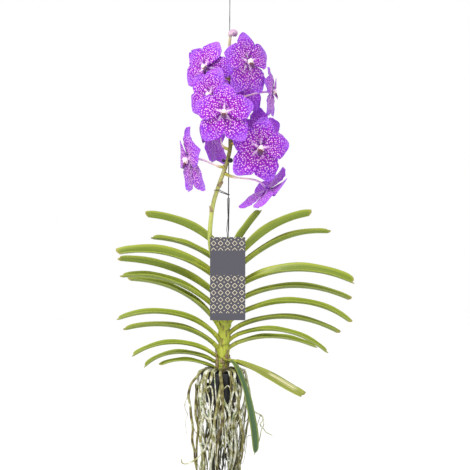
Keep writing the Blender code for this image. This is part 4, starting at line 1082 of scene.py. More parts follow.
veined = add(
    tree, "ShaderNodeMix", {7: linear("#6a1196")}, {0: (vein, "Result"), 6: (ground, "Color")},
    data_type="RGBA",
)
# Fine magenta veins fan out to the margin, about 1.4 mm apart
fan = add(tree, "ShaderNodeMapping", {"Scale": (2.2, 14.0, 60.0)}, {"Vector": (spot, "Vector")})
fans = add(tree, "ShaderNodeTexNoise", {"Scale": 1.0, "Detail": 2.0}, {"Vector": (fan, "Vector")})
fan_share = add(
    tree, "ShaderNodeMapRange", {"From Min": 0.50, "From Max": 0.62, "To Max": 0.55}, {"Value": (fans, "Fac")}
)
fanned = add(
    tree, "ShaderNodeMix", {7: linear("#a425bf")}, {0: (fan_share, "Result"), 6: (veined, 2)},
    data_type="RGBA",
)
dot = add(
    tree, "ShaderNodeMapRange", {"From Min": 0.15, "From Max": 0.34, "To Min": 1.0, "To Max": 0.0},
    {"Value": (meshes, "Distance")},
)
size_of_dot = add(
    tree, "ShaderNodeMapRange", {"From Min": 0.36, "From Max": 0.62, "To Min": 0.40, "To Max": 1.0},
    {"Value": (dabs, "Fac")},
)
fade = add(
    tree, "ShaderNodeMapRange", {"From Min": 0.58, "From Max": 1.02, "To Min": 1.0, "To Max": 0.10},
    {"Value": (reach, 0)},
)
dabbed = add(
    tree, "ShaderNodeMath", links={0: (dot, "Result"), 1: (size_of_dot, "Result")}, operation="MULTIPLY"
)
dots = add(tree, "ShaderNodeMath", links={0: (dabbed, 0), 1: (fade, "Result")}, operation="MULTIPLY")
dotted = add(
    tree, "ShaderNodeMix", {7: linear("#f6c9f2")}, {0: (dots, 0), 6: (fanned, 2)}, data_type="RGBA"
)
# The claw is white down its middle, and dark purple shows at its two edges
notch_along = add(
    tree, "ShaderNodeMapRange", {"From Min": 0.14, "From Max": 0.26, "To Min": 0.85, "To Max": 0.0},
    {"Value": (parts, "X")},
)
notch_across = add(tree, "ShaderNodeMapRange", {"From Min": 0.16, "From Max": 0.26}, {"Value": (side, 0)})
notch = add(
    tree, "ShaderNodeMath", links={0: (notch_along, "Result"), 1: (notch_across, "Result")},
    operation="MULTIPLY",
)
notched = add(
    tree, "ShaderNodeMix", {7: linear("#4f1470")}, {0: (notch, 0), 6: (dotted, 2)}, data_type="RGBA"
)
claw_along = add(
    tree, "ShaderNodeMapRange", {"From Min": 0.12, "From Max": 0.36, "To Min": 0.9, "To Max": 0.0},
    {"Value": (parts, "X")},
)
claw_across = add(
    tree, "ShaderNodeMapRange", {"From Min": 0.03, "From Max": 0.12, "To Min": 1.0, "To Max": 0.0},
    {"Value": (side, 0)},
)
claw = add(
    tree, "ShaderNodeMath", links={0: (claw_along, "Result"), 1: (claw_across, "Result")},
    operation="MULTIPLY",
)
clawed = add(tree, "ShaderNodeMix", {7: linear("#f3def4")}, {0: (claw, 0), 6: (notched, 2)}, data_type="RGBA")
# The back of a tepal is paler and its pattern shows through faintly
back = add(
    tree, "ShaderNodeMix", {0: 0.42, 7: linear("#ad4fdc")}, {6: (clawed, 2)}, data_type="RGBA"
)
colour = add(tree, "ShaderNodeMix", links={0: (top, "Fac"), 6: (back, 2), 7: (clawed, 2)}, data_type="RGBA")
shine = add(tree, "ShaderNodeMapRange", {"To Min": 0.38, "To Max": 0.56}, {"Value": (clouds, "Fac")})
finish_off(tree, shader, (colour, 2), (shine, "Result"), (meshes, "Distance"), 0.30, 0.0005)


def add_ball(form, centre, radii, turn=None, finish=0, mark=0.0, segments=20, rings=12):
    """Adds an ellipsoid with these half sizes."""
    spin = turn or Matrix.Identity(3)
    points, lie = [], []
    for i in range(rings + 1):
        tilt = math.pi * i / rings
        for k in range(segments):
            angle = 2 * math.pi * k / segments
            way = Vector((math.sin(tilt) * math.cos(angle), math.sin(tilt) * math.sin(angle), math.cos(tilt)))
            points.append(Vector(centre) + spin @ Vector([w * r for w, r in zip(way, radii)]))
            lie.append((i / rings, k / segments, mark))
    faces = []
    for i in range(rings):
        for k in range(segments):
            a, b = i * segments + k, i * segments + (k + 1) % segments
            faces.append((a, a + segments, b + segments, b))
    grow(form, points, faces, lie, [1.0] * len(points), finish)


def turned(form, turn):
    """Moves a form's points by a matrix."""
    form["points"] = [tuple(turn @ Vector(p)) for p in form["points"]]


for seed, (name, bloom) in enumerate(BLOOMS.items(), 1):
    draw = random.Random(TEPAL_SEEDS.get(name, seed))
    plans = [
        (DORSAL_SIZE, 90, 0.0000, 0.002, 0.005, 0.003),
        (LATERAL_SIZE, -124, 0.0000, 0.001, 0.003, 0.002),
        (LATERAL_SIZE, -56, -0.0014, 0.001, 0.004, 0.002),
        (PETAL_SIZE, 16, 0.0022, 0.004, 0.004, 0.001),
        (PETAL_SIZE, 164, 0.0022, 0.004, 0.004, 0.001),
    ]
    fine = random.Random(100 + seed)
    form = new_form()
    add_ball(form, Vector(), (HUB_RADIUS, HUB_RADIUS, HUB_DEPTH))
    for k, (size, angle, base, lift, reflex, cup) in enumerate(plans):
        angle += draw.uniform(-3, 3)
        wave = draw.uniform(0.0010, 0.0022)
        phase = draw.uniform(0, 2 * math.pi)
        reflex += draw.uniform(-0.001, 0.002)
        mark = (0.173 * seed + 0.219 * k) % 1.0
        sheet(form, *tepal_grid(size, angle, base, lift, reflex, cup, wave, phase, fine, mark))
    turned(form, bloom_frame(bloom))
    show(name + "_petals", form, [tepal_skin], name + "_tepals")

# Lip and column: in front of the hub stands a stout white column with its anther cap, and
# below it hangs a thick, dark, tongue-shaped lip between two small upright lobes.
COLUMN_LENGTH = 0.0075
LIP_LENGTH = 0.018
LIP_HALF_WIDTH = 0.0045


# Column tissue: waxy white, flushed pink at its foot and yellow under the cap.
column_skin, tree, shader = new_finish("waxy_white_column", 0.33, IOR=1.42)
shader.inputs["Subsurface Weight"].default_value = 0.15
shader.inputs["Subsurface Radius"].default_value = (0.003, 0.002, 0.003)
spot = add(tree, "ShaderNodeAttribute", attribute_name="lie")
where = add(tree, "ShaderNodeTexCoord")
parts = add(tree, "ShaderNodeSeparateXYZ", links={"Vector": (spot, "Vector")})
flush = add(
    tree, "ShaderNodeValToRGB", links={"Fac": (parts, "X")},
    stops=[(0.0, "#e9d3ea"), (0.35, "#f6e9f4"), (0.85, "#fdf9f9"), (1.0, "#f3ead2")],
)
# Pink freckles 1 mm across
freckles = add(tree, "ShaderNodeTexNoise", {"Scale": 1000.0, "Detail": 2.0}, {"Vector": (where, "Object")})
tint = add(
    tree, "ShaderNodeValToRGB", links={"Fac": (freckles, "Fac")},
    stops=[(0.36, "#dba6dd"), (0.5, "#ffffff")],
)
colour = add(
    tree, "ShaderNodeMix", {0: 0.6}, {6: (flush, "Color"), 7: (tint, "Color")},
    data_type="RGBA", blend_type="MULTIPLY",
)
shine = add(tree, "ShaderNodeMapRange", {"To Min": 0.25, "To Max": 0.45}, {"Value": (freckles, "Fac")})
finish_off(tree, shader, (colour, 2), (shine, "Result"), (freckles, "Fac"), 0.15, 0.0003)

# Lip tissue: thick and velvety, orange-brown at its foot and dark purple beyond, ridged along
# its length.
lip_skin, tree, shader = new_finish("velvet_purple_lip", 0.5, IOR=1.42)
shader.inputs["Sheen Weight"].default_value = 0.08
shader.inputs["Sheen Roughness"].default_value = 0.4
spot = add(tree, "ShaderNodeAttribute", attribute_name="lie")
parts = add(tree, "ShaderNodeSeparateXYZ", links={"Vector": (spot, "Vector")})
stretch = add(tree, "ShaderNodeMapping", {"Scale": (3.0, 6.0, 20.0)}, {"Vector": (spot, "Vector")})
folds = add(tree, "ShaderNodeTexNoise", {"Scale": 1.0, "Detail": 3.0}, {"Vector": (stretch, "Vector")})
run = add(
    tree, "ShaderNodeValToRGB", links={"Fac": (parts, "X")},
    stops=[(0.0, "#a8642c"), (0.26, "#86432f"), (0.50, "#54204f"), (1.0, "#5c2c66")],
)
tint = add(
    tree, "ShaderNodeValToRGB", links={"Fac": (folds, "Fac")}, stops=[(0.3, "#8f7fa8"), (0.65, "#ffffff")]
)
colour = add(
    tree, "ShaderNodeMix", {0: 0.6}, {6: (run, "Color"), 7: (tint, "Color")},
    data_type="RGBA", blend_type="MULTIPLY",
)
shine = add(tree, "ShaderNodeMapRange", {"To Min": 0.4, "To Max": 0.62}, {"Value": (folds, "Fac")})
finish_off(tree, shader, (colour, 2), (shine, "Result"), (folds, "Fac"), 0.4, 0.0004)

# Side lobes: thin and cream, speckled brown-red.
lobe_skin, tree, shader = new_finish("cream_lip_lobe", 0.45, IOR=1.42)
where = add(tree, "ShaderNodeTexCoord")
# Specks 0.5 mm across in cells of 1.1 mm
specks = add(tree, "ShaderNodeTexVoronoi", {"Scale": 900.0}, {"Vector": (where, "Object")}, feature="F1")
tone = add(
    tree, "ShaderNodeValToRGB", links={"Fac": (specks, "Distance")},
    stops=[(0.12, "#9c5a4a"), (0.24, "#eed9d2"), (0.9, "#f3e4ee")],
)
shine = add(tree, "ShaderNodeMapRange", {"To Min": 0.35, "To Max": 0.55}, {"Value": (specks, "Distance")})
finish_off(tree, shader, (tone, "Color"), (shine, "Result"), (specks, "Distance"), 0.2, 0.0003)

for seed, (name, bloom) in enumerate(BLOOMS.items(), 1):
    foot = HUB_DEPTH + GAP
    turn = bloom_frame(bloom)
    form = new_form()
    path = [Vector((0, 0.0010 * k / 10, foot + COLUMN_LENGTH * k / 10)) for k in range(11)]
    tube(form, path, [0.0031, 0.0034, 0.0036, 0.0036, 0.0035, 0.0032, 0.0026, 0.0012], 18, mark=seed * 0.1)
    add_ball(form, (0, 0.0012, foot + COLUMN_LENGTH - 0.0022), (0.0034, 0.0034, 0.0023), mark=0.5)
    for lean in (-1, 1):
        add_ball(form, (lean * 0.0022, -0.0014, foot + 0.0030), (0.0016, 0.0016, 0.0030))
    turned(form, turn)
    show(name + "_column", form, [column_skin], name + "_lip")
    form = new_form()
    grid, lie, thick = [], [], []
    for i in range(16):
        share = i / 15
        half = LIP_HALF_WIDTH * (0.50 + 0.55 * math.sin(math.pi * share**1.3)) * (1 - 0.22 * share)
        if share > 0.85:
            half *= 1 - 0.5 * ((share - 0.85) / 0.15) ** 2
        drop = -0.0005 - LIP_LENGTH * (0.62 * share)
        out = foot + 0.0012 + LIP_LENGTH * (0.72 * share - 0.30 * share * share)
        row = []
        for k in range(13):
            a = k / 6 - 1
            ridge = 0.0005 * math.cos(2.5 * math.pi * a) * math.sin(math.pi * min(1, share * 1.2))
            row.append((a * half, drop - 0.0010 * abs(a), out + ridge))
        grid.append(row)
        lie.append([(share, k / 6 - 1, seed * 0.09) for k in range(13)])
        thick.append([0.0022 * (1 - 0.5 * abs(k / 6 - 1) ** 3) * (1 - 0.3 * share) for k in range(13)])
    sheet(form, grid, thick, lie)
    for lean in (-1, 1):
        grid, lie = [], []
        for i in range(8):
            share = i / 7
            high = 0.0010 + 0.0046 * share
            wide = 0.0030 * math.sqrt(max(0.0, 1 - share**2.4)) + 0.0004
            row = [
                (
                    lean * (0.0038 + 0.0016 * share - 0.0010 * (j / 3 - 1) ** 2),
                    -0.0020 + (j / 3 - 1) * wide, foot + high,
                )
                for j in range(7)
            ]
            grid.append(row)
            lie.append([(share, j / 3 - 1, 0.5) for j in range(7)])
        sheet(form, grid, 0.0008, lie, finish=1)
    turned(form, turn)
    show(name + "_lip_lobes", form, [lip_skin, lobe_skin], name + "_lip")

# Spike tie and clip: a plastic-covered wire tie holds the spike to the hanger wire, and a black
# sprung plastic claw with two thumb lobes holds it again higher up.
SPIKE_TIE_WIRE = 0.0007
TIE_ON_SPIKE, TIE_ON_WIRE = -0.354, -0.3610
TIE_BEND, CLIP_BEND = 0.0038, 0.0044
CLIP_OPENING = 110
CLIP_HEIGHT = -0.3030
CLIP_RADIUS = 0.0011


def belt(first, first_radius, second, second_radius, opening=40):
    """Points of an open loop round two rods, level with their centres, open on the first one's far side."""
    toward = second - first
    heading = math.degrees(math.atan2(toward.y, toward.x))
    lean = math.degrees(math.asin((first_radius - second_radius) / Vector((toward.x, toward.y)).length))
    near = circle_arc(first, first_radius, heading + 180 - opening / 2, heading + 90 - lean, 12, "XY")
    far = circle_arc(second, second_radius, heading + 90 - lean, heading - 90 + lean, 12, "XY")
    back = circle_arc(first, first_radius, heading - 90 + lean, heading - 180 + opening / 2, 12, "XY")
    return near + far + back


form = new_form()
spike, wire = spike_point(TIE_ON_SPIKE), shank_point(TIE_ON_WIRE)
grip = SPIKE_TIE_WIRE + GAP
tube(form, belt(spike, TIE_BEND + grip, wire, WIRE_RADIUS + grip), [SPIKE_TIE_WIRE], 10)
show("spike_tie_wire", form, [black], "spike_tie")

form = new_form()
spike, wire = spike_point(CLIP_HEIGHT), shank_point(CLIP_HEIGHT)
around = belt(spike, CLIP_BEND + CLIP_RADIUS, wire, WIRE_RADIUS + CLIP_RADIUS + GAP, CLIP_OPENING)
tube(form, around, [CLIP_RADIUS], 12)
for end, out, size in (
    (around[0], 0.30, (0.0028, 0.0022, 0.0030)), (around[-1], 0.55, (0.0042, 0.0030, 0.0042))
):
    add_ball(form, end + (end - spike) * out, size)
show("spike_clip_claw", form, [black], "spike_clip")

# Swing tag: a die-cut card, printed slate with pale ornament and varnished matt, with one
# punched hole near its top, hung in front of the leaves on a doubled cord.
TAG_SIZE = (0.0595, 0.0012, 0.140)
TAG_TOP = (-0.0035, -0.0262, -0.4335)
TAG_HOLE_RADIUS = 0.0018
TAG_HOLE_DROP = 0.005
TAG_CORNER = 0.0012
CORD_RADIUS = 0.0005


# Printed card: matt coated board. Two bands of pale hollow diamonds stand on plain slate,
# and grey board shows at the cut edges.
card, tree, shader = new_finish("matt_printed_board", 0.6, IOR=1.46)
where = add(tree, "ShaderNodeTexCoord")
parts = add(tree, "ShaderNodeSeparateXYZ", links={"Vector": (where, "Object")})
# Hollow diamonds stand 11.9 mm apart, five across the card, with a small one in every gap
PITCH = 0.0119
CELLS_BEFORE = 20.3
DIAMOND_OUTSIDE, DIAMOND_INSIDE, SMALL_DIAMOND = 0.39, 0.29, 0.10
TOP_BAND_END, LOW_BAND_START, LOW_BAND_END = 0.0225, 0.0640, 0.1280
away = []
for axis_name, half_step in (("X", 0.5), ("Z", 0.5), ("X", 0.0), ("Z", 0.0)):
    cells = add(
        tree, "ShaderNodeMath", {1: 1 / PITCH, 2: half_step + CELLS_BEFORE}, {0: (parts, axis_name)},
        operation="MULTIPLY_ADD",
    )
    part = add(tree, "ShaderNodeMath", links={0: (cells, 0)}, operation="FRACT")
    middle = add(tree, "ShaderNodeMath", {1: 0.5}, {0: (part, 0)}, operation="SUBTRACT")
    away.append(add(tree, "ShaderNodeMath", links={0: (middle, 0)}, operation="ABSOLUTE"))
large = add(tree, "ShaderNodeMath", links={0: (away[0], 0), 1: (away[1], 0)}, operation="ADD")
small = add(tree, "ShaderNodeMath", links={0: (away[2], 0), 1: (away[3], 0)}, operation="ADD")
outer_ring = add(tree, "ShaderNodeMath", {1: DIAMOND_OUTSIDE}, {0: (large, 0)}, operation="LESS_THAN")
inner_ring = add(tree, "ShaderNodeMath", {1: DIAMOND_INSIDE}, {0: (large, 0)}, operation="GREATER_THAN")
ring = add(tree, "ShaderNodeMath", links={0: (outer_ring, 0), 1: (inner_ring, 0)}, operation="MULTIPLY")
spot_mark = add(tree, "ShaderNodeMath", {1: SMALL_DIAMOND}, {0: (small, 0)}, operation="LESS_THAN")
motif = add(tree, "ShaderNodeMath", links={0: (ring, 0), 1: (spot_mark, 0)}, operation="MAXIMUM")
tag_z = TAG_TOP[2]
top_band = add(tree, "ShaderNodeMath", {1: tag_z - TOP_BAND_END}, {0: (parts, "Z")}, operation="GREATER_THAN")
low_start = add(tree, "ShaderNodeMath", {1: tag_z - LOW_BAND_START}, {0: (parts, "Z")}, operation="LESS_THAN")
low_end = add(tree, "ShaderNodeMath", {1: tag_z - LOW_BAND_END}, {0: (parts, "Z")}, operation="GREATER_THAN")
low_band = add(tree, "ShaderNodeMath", links={0: (low_start, 0), 1: (low_end, 0)}, operation="MULTIPLY")
band = add(tree, "ShaderNodeMath", links={0: (top_band, 0), 1: (low_band, 0)}, operation="MAXIMUM")
ink = add(tree, "ShaderNodeMath", links={0: (motif, 0), 1: (band, 0)}, operation="MULTIPLY")
# Board fibres under the print, 0.4 mm
fibres = add(tree, "ShaderNodeTexNoise", {"Scale": 2500.0, "Detail": 3.0}, {"Vector": (where, "Object")})
slate = add(
    tree, "ShaderNodeValToRGB", links={"Fac": (fibres, "Fac")}, stops=[(0.3, "#3d3b44"), (0.7, "#4a4850")]
)
colour = add(
    tree, "ShaderNodeMix", {7: linear("#c8bea3")}, {0: (ink, 0), 6: (slate, "Color")}, data_type="RGBA"
)
shine = add(tree, "ShaderNodeMapRange", {"To Min": 0.5, "To Max": 0.68}, {"Value": (fibres, "Fac")})
finish_off(tree, shader, (colour, 2), (shine, "Result"), (fibres, "Fac"), 0.12, 0.0002)

# Cut board edge: bare grey pulp, rough and matt.
board_edge, tree, shader = new_finish("cut_board_edge", 0.85)
where = add(tree, "ShaderNodeTexCoord")
pulp = add(tree, "ShaderNodeTexNoise", {"Scale": 3000.0, "Detail": 4.0}, {"Vector": (where, "Object")})
tone = add(
    tree, "ShaderNodeValToRGB", links={"Fac": (pulp, "Fac")}, stops=[(0.3, "#77747c"), (0.7, "#a7a3a6")]
)
rough = add(tree, "ShaderNodeMapRange", {"To Min": 0.75, "To Max": 0.95}, {"Value": (pulp, "Fac")})
finish_off(tree, shader, (tone, "Color"), (rough, "Result"), (pulp, "Fac"), 0.5, 0.0002)


def card_outline(corner, steps):
    """The card's outline with lightly rounded corners."""
    width, height = 0.5 * TAG_SIZE[0] - corner, 0.5 * TAG_SIZE[2] - corner
    path = []
    for turn, x, z in (
        (0, width, height), (90, -width, height), (180, -width, -height), (270, width, -height)
    ):
        for k in range(steps + 1):
            angle = math.radians(turn + 90 * k / steps)
            path.append((x + corner * math.cos(angle), z + corner * math.sin(angle)))
    return path


form = new_form()
corners = card_outline(TAG_CORNER, 4)
middle = Vector(TAG_TOP) + Vector((0, 0, -TAG_SIZE[2] / 2))
hole_z = TAG_SIZE[2] / 2 - TAG_HOLE_DROP
outline = []
for (x0, z0), (x1, z1) in zip(corners, corners[1:] + corners[:1]):
    steps = max(1, round(math.hypot(x1 - x0, z1 - z0) / 0.006))
    outline += [(x0 + (x1 - x0) * k / steps, z0 + (z1 - z0) * k / steps) for k in range(steps)]
angles = [math.atan2(z - hole_z, x) for x, z in outline]
hole = [(TAG_HOLE_RADIUS * math.cos(a), hole_z + TAG_HOLE_RADIUS * math.sin(a)) for a in angles]
points = []
half = 0.5 * TAG_SIZE[1]
for y in (-half, half):
    for ring in (outline, hole):
        points += [(middle.x + x, middle.y + y, middle.z + z) for x, z in ring]
count = len(outline)
for k in range(count):
    n = (k + 1) % count
    front_out, front_in, back_out, back_in = k, count + k, 2 * count + k, 3 * count + k
    n_front_out, n_front_in, n_back_out, n_back_in = n, count + n, 2 * count + n, 3 * count + n
    if k == 0:
        grow(form, points, [], [(0, 0, 0)] * len(points), [1.0] * len(points), 0)
    form["faces"] += [
        (front_out, front_in, n_front_in, n_front_out),
        (back_out, n_back_out, n_back_in, back_in),
        (front_out, n_front_out, n_back_out, back_out),
        (front_in, back_in, n_back_in, n_front_in),
    ]
    form["finish"] += [0, 0, 1, 1]
show("swing_tag_card", form, [card, board_edge], "swing_tag", flat=True)

# Tag cord: a thin twisted cotton cord, looped behind the wire and through the tag's hole. It
# hangs taut under the card, and its two strands run side by side.
top = shank_point(-0.3665)
hole = Vector(TAG_TOP) + Vector((0, 0, -TAG_HOLE_DROP))
side_way = WIRE_RADIUS + CORD_RADIUS + 2 * GAP
face = TAG_SIZE[1] / 2 + CORD_RADIUS + GAP
over = TAG_HOLE_DROP + 0.003
cord_path = [
    (top.x, top.y + side_way, top.z),
    (top.x + side_way, top.y + 0.0006, top.z - 0.0008),
    (top.x + CORD_RADIUS + GAP, top.y - 0.020, top.z - 0.034),
    (hole.x + 0.0018, hole.y + 0.006, hole.z + 0.018),
    (hole.x + 0.0006, hole.y + face, hole.z + over),
    (hole.x + 0.0002, hole.y + face, hole.z + 0.0008),
    (hole.x, hole.y, hole.z - 0.0002),
    (hole.x - 0.0002, hole.y - face, hole.z + 0.0008),
    (hole.x - 0.0006, hole.y - face, hole.z + over),
    (hole.x - 0.0018, hole.y + 0.006, hole.z + 0.018),
    (top.x - CORD_RADIUS - GAP, top.y - 0.020, top.z - 0.034),
    (top.x - side_way, top.y + 0.0006, top.z - 0.0008),
]
# Twisted cotton: matt and fibrous, black with greyed strands.
cotton, tree, shader = new_finish("twisted_black_cotton", 0.85)
spot = add(tree, "ShaderNodeAttribute", attribute_name="lie")
# The strands repeat about every 2.6 mm along the loop of 179 mm
twist = add(tree, "ShaderNodeMapping", {"Scale": (85.0, 2.0, 1.0)}, {"Vector": (spot, "Vector")})
strands = add(
    tree, "ShaderNodeTexWave", {"Scale": 0.5, "Distortion": 0.6}, {"Vector": (twist, "Vector")},
    wave_type="BANDS", bands_direction="DIAGONAL",
)
tone = add(
    tree, "ShaderNodeValToRGB", links={"Fac": (strands, "Fac")}, stops=[(0.1, "#0d0d10"), (0.8, "#2e2e34")]
)
rough = add(tree, "ShaderNodeMapRange", {"To Min": 0.75, "To Max": 0.95}, {"Value": (strands, "Fac")})
finish_off(tree, shader, (tone, "Color"), (rough, "Result"), (strands, "Fac"), 0.5, 0.0002)

form = new_form()
dense = []
for start, end in zip(cord_path, cord_path[1:] + cord_path[:1]):
    steps = max(1, round((Vector(end) - Vector(start)).length / 0.002))
    dense += [Vector(start).lerp(Vector(end), k / steps) for k in range(steps)]
tube(form, dense, [CORD_RADIUS], 8, closed=True)
show("tag_cord_twisted", form, [cotton], "tag_cord")

# Aerial roots: thick, spongy cords from the crown at the cane's foot. Some drop through the
# pot's open floor, others bend over its rim or grow out of its slots, and thin side roots
# branch off them and tangle on the way down.
CROWN_RADIUS = 0.0105
CROWN_DEPTH = 0.032
ROOT_SEED = 11
ROOTS_THROUGH = 16
WANDER_SEED = 3
SIDE_ROOTS = 80
CLOSE_SIDE_ROOTS = 46
DRAPED_ROOTS = 18
LOWEST_ROOT = -0.925
WALL_MARGIN = 0.004
CLEAR_OF_WALL = 0.006
# The hanging leaf comes down near -43 degrees, and roots between these azimuths pass beside it
LEAF_FROM, LEAF_TO = -50, -36
LEAF_DETOUR = 24
# Azimuth, radius and shade of young roots that have only just grown over the rim
YOUNG_ROOTS = ((-112, 0.0028, 0.62), (-58, 0.0025, 0.60), (-128, 0.0024, 0.66))
# Over the rim: radius, azimuth where the root crosses it, then points from the rim's centre
SHOWN_ROOTS = [
    (0.0024, -153, (-0.053, -0.020, -0.022), (-0.055, -0.018, -0.046), (-0.050, -0.016, -0.080),
     (-0.049, -0.014, -0.115), (-0.045, -0.012, -0.146), (-0.040, -0.010, -0.190), (-0.043, -0.010, -0.232)),
    (0.0021, -132, (-0.034, -0.036, -0.022), (-0.034, -0.038, -0.050), (-0.026, -0.034, -0.072),
     (-0.016, -0.030, -0.090), (-0.022, -0.026, -0.112), (-0.034, -0.024, -0.136), (-0.052, -0.024, -0.150),
     (-0.064, -0.022, -0.153), (-0.069, -0.020, -0.145)),
    (0.0029, -92, (0.001, -0.045, -0.024), (0.002, -0.044, -0.054), (0.001, -0.041, -0.084),
     (-0.006, -0.036, -0.112), (-0.008, -0.034, -0.146), (-0.006, -0.030, -0.190), (-0.010, -0.026, -0.250)),
    (0.0022, -68, (0.022, -0.040, -0.022), (0.029, -0.036, -0.050), (0.032, -0.032, -0.086),
     (0.036, -0.028, -0.104), (0.034, -0.024, -0.140), (0.022, -0.022, -0.165), (0.012, -0.022, -0.205)),
    (0.0016, 7, (0.047, 0.004, -0.030), (0.051, -0.002, -0.062), (0.058, -0.004, -0.068),
     (0.071, -0.004, -0.078), (0.066, -0.004, -0.088), (0.074, -0.004, -0.100), (0.086, -0.004, -0.108)),
    (0.0021, 36, (0.044, 0.018, -0.034), (0.046, 0.010, -0.070), (0.041, 0.002, -0.106),
     (0.028, -0.006, -0.140), (0.012, -0.012, -0.165)),
    (0.0023, 136, (-0.038, 0.030, -0.030), (-0.040, 0.026, -0.075), (-0.034, 0.020, -0.130),
     (-0.036, 0.014, -0.190), (-0.030, 0.010, -0.262)),
    (0.0023, 112, (-0.022, 0.041, -0.034), (-0.018, 0.038, -0.080), (-0.020, 0.030, -0.130),
     (-0.012, 0.026, -0.180), (-0.014, 0.022, -0.236)),
    (0.0022, 58, (0.029, 0.038, -0.034), (0.026, 0.036, -0.080), (0.022, 0.028, -0.126),
     (0.026, 0.022, -0.175), (0.020, 0.018, -0.222)),
]
# Out through a slot: radius, slot's azimuth, height, then points from the rim's centre
SLOT_ROOTS = [
    (0.0027, -90, -0.020, (-0.003, -0.043, -0.036), (-0.009, -0.040, -0.062), (-0.013, -0.034, -0.095),
     (-0.020, -0.028, -0.135), (-0.016, -0.026, -0.185), (-0.019, -0.022, -0.238)),
    (0.0028, -135, -0.024, (-0.031, -0.031, -0.042), (-0.030, -0.028, -0.070), (-0.036, -0.022, -0.105),
     (-0.030, -0.022, -0.150), (-0.034, -0.018, -0.200), (-0.027, -0.016, -0.258)),
    (0.0028, -45, -0.018, (0.031, -0.031, -0.034), (0.024, -0.032, -0.058), (0.018, -0.032, -0.085),
     (0.024, -0.028, -0.125), (0.016, -0.026, -0.170), (0.019, -0.020, -0.228)),
    (0.0026, -90, -0.031, (0.004, -0.042, -0.044), (0.014, -0.038, -0.070), (0.009, -0.034, -0.100),
     (0.016, -0.030, -0.140), (0.006, -0.028, -0.190), (0.010, -0.022, -0.262)),
    (0.0025, 180, -0.022, (-0.043, -0.004, -0.040), (-0.044, -0.012, -0.066), (-0.040, -0.016, -0.098),
     (-0.043, -0.010, -0.150), (-0.037, -0.006, -0.205)),
    (0.0025, 0, -0.024, (0.041, -0.006, -0.042), (0.034, -0.016, -0.064), (0.024, -0.026, -0.082),
     (0.027, -0.020, -0.128), (0.031, -0.012, -0.180), (0.022, -0.008, -0.246)),
]


def around_pot(radius, azimuth, height):
    """A point at this distance and azimuth from the pot's axis, at a height above its rim."""
    angle = math.radians(azimuth)
    return Vector((POT_X + radius * math.cos(angle), radius * math.sin(angle), RIM_Z + height))


def rim_crossing(radius, azimuth):
    """The first points of a root that leaves the crown and bends over the rim."""
    outside = RIM_RADIUS + POT_LIP + radius + 0.0012
    return [
        around_pot(0.3 * CROWN_RADIUS, azimuth, -0.020),
        around_pot(0.020, azimuth, radius + 0.0010),
        around_pot(RIM_RADIUS, azimuth, radius + 0.0022),
        around_pot(outside, azimuth, -0.001),
    ]


def slot_crossing(azimuth, height):
    """The first points of a root that leaves the crown and grows out through a slot of the pot."""
    return [
        around_pot(0.3 * CROWN_RADIUS, azimuth, height + 0.002),
        around_pot(RIM_RADIUS - 0.008, azimuth, height + 0.001),
        around_pot(RIM_RADIUS + 0.004, azimuth, height - 0.003),
    ]


def hanging_points(draw, turn, spread):
    """Points of a root that drops through the pot's open floor and swings about on its way down."""
    length = draw.uniform(0.18, 0.29)
    inner = 0.0205 * spread
    path = [
        around_pot(0.35 * CROWN_RADIUS * spread, turn, -0.020),
        around_pot(inner, turn, -POT_HEIGHT + 0.010),
        around_pot(inner, turn, -POT_HEIGHT - 0.003),
    ]
    swing = draw.uniform(25, 70) * draw.choice((-1, 1))
    for step in (0.16, 0.34, 0.52, 0.70, 0.86, 1.0):
        reach = inner + 0.016 * spread * math.sin(math.pi * step) + draw.uniform(-0.003, 0.004)
        low = -POT_HEIGHT - (length - POT_HEIGHT) * step
        path.append(around_pot(reach, turn + swing * step + draw.uniform(-10, 10), low))
    return path


# Dry velamen: matt, papery silver-grey over green, stained brown in patches and greenest
# towards the living tips, with fine cracks along the root.
velamen, tree, shader = new_finish("dry_root_velamen", 0.85)
spot = add(tree, "ShaderNodeAttribute", attribute_name="lie")
where = add(tree, "ShaderNodeTexCoord")
parts = add(tree, "ShaderNodeSeparateXYZ", links={"Vector": (spot, "Vector")})
# Stains about 12 mm long, and cracks 0.5 mm across and 5 mm long
stains = add(tree, "ShaderNodeTexNoise", {"Scale": 80.0, "Detail": 5.0}, {"Vector": (where, "Object")})
stretch = add(tree, "ShaderNodeMapping", {"Scale": (2000.0, 2000.0, 200.0)}, {"Vector": (where, "Object")})
cracks = add(tree, "ShaderNodeTexNoise", {"Scale": 1.0, "Detail": 4.0}, {"Vector": (stretch, "Vector")})
shift = add(tree, "ShaderNodeMath", {1: 0.34, 2: -0.18}, {0: (parts, "Z")}, operation="MULTIPLY_ADD")
mixed = add(tree, "ShaderNodeMath", links={0: (stains, "Fac"), 1: (shift, 0)}, operation="ADD")
tone = add(
    tree, "ShaderNodeValToRGB", links={"Fac": (mixed, 0)},
    stops=[(0.24, "#4f4226"), (0.38, "#807a43"), (0.48, "#a2a36f"), (0.57, "#e6e6d8"), (0.74, "#85955f")],
)
crack_tone = add(
    tree, "ShaderNodeValToRGB", links={"Fac": (cracks, "Fac")},
    stops=[(0.36, "#8d7a56"), (0.54, "#ffffff")],
)
colour = add(
    tree, "ShaderNodeMix", {0: 0.75}, {6: (tone, "Color"), 7: (crack_tone, "Color")},
    data_type="RGBA", blend_type="MULTIPLY",
)
tip_share = add(
    tree, "ShaderNodeMapRange", {"From Min": 0.955, "From Max": 0.99, "To Max": 0.8}, {"Value": (parts, "X")}
)
tipped = add(
    tree, "ShaderNodeMix", {7: linear("#8f9e4c")}, {0: (tip_share, "Result"), 6: (colour, 2)},
    data_type="RGBA",
)
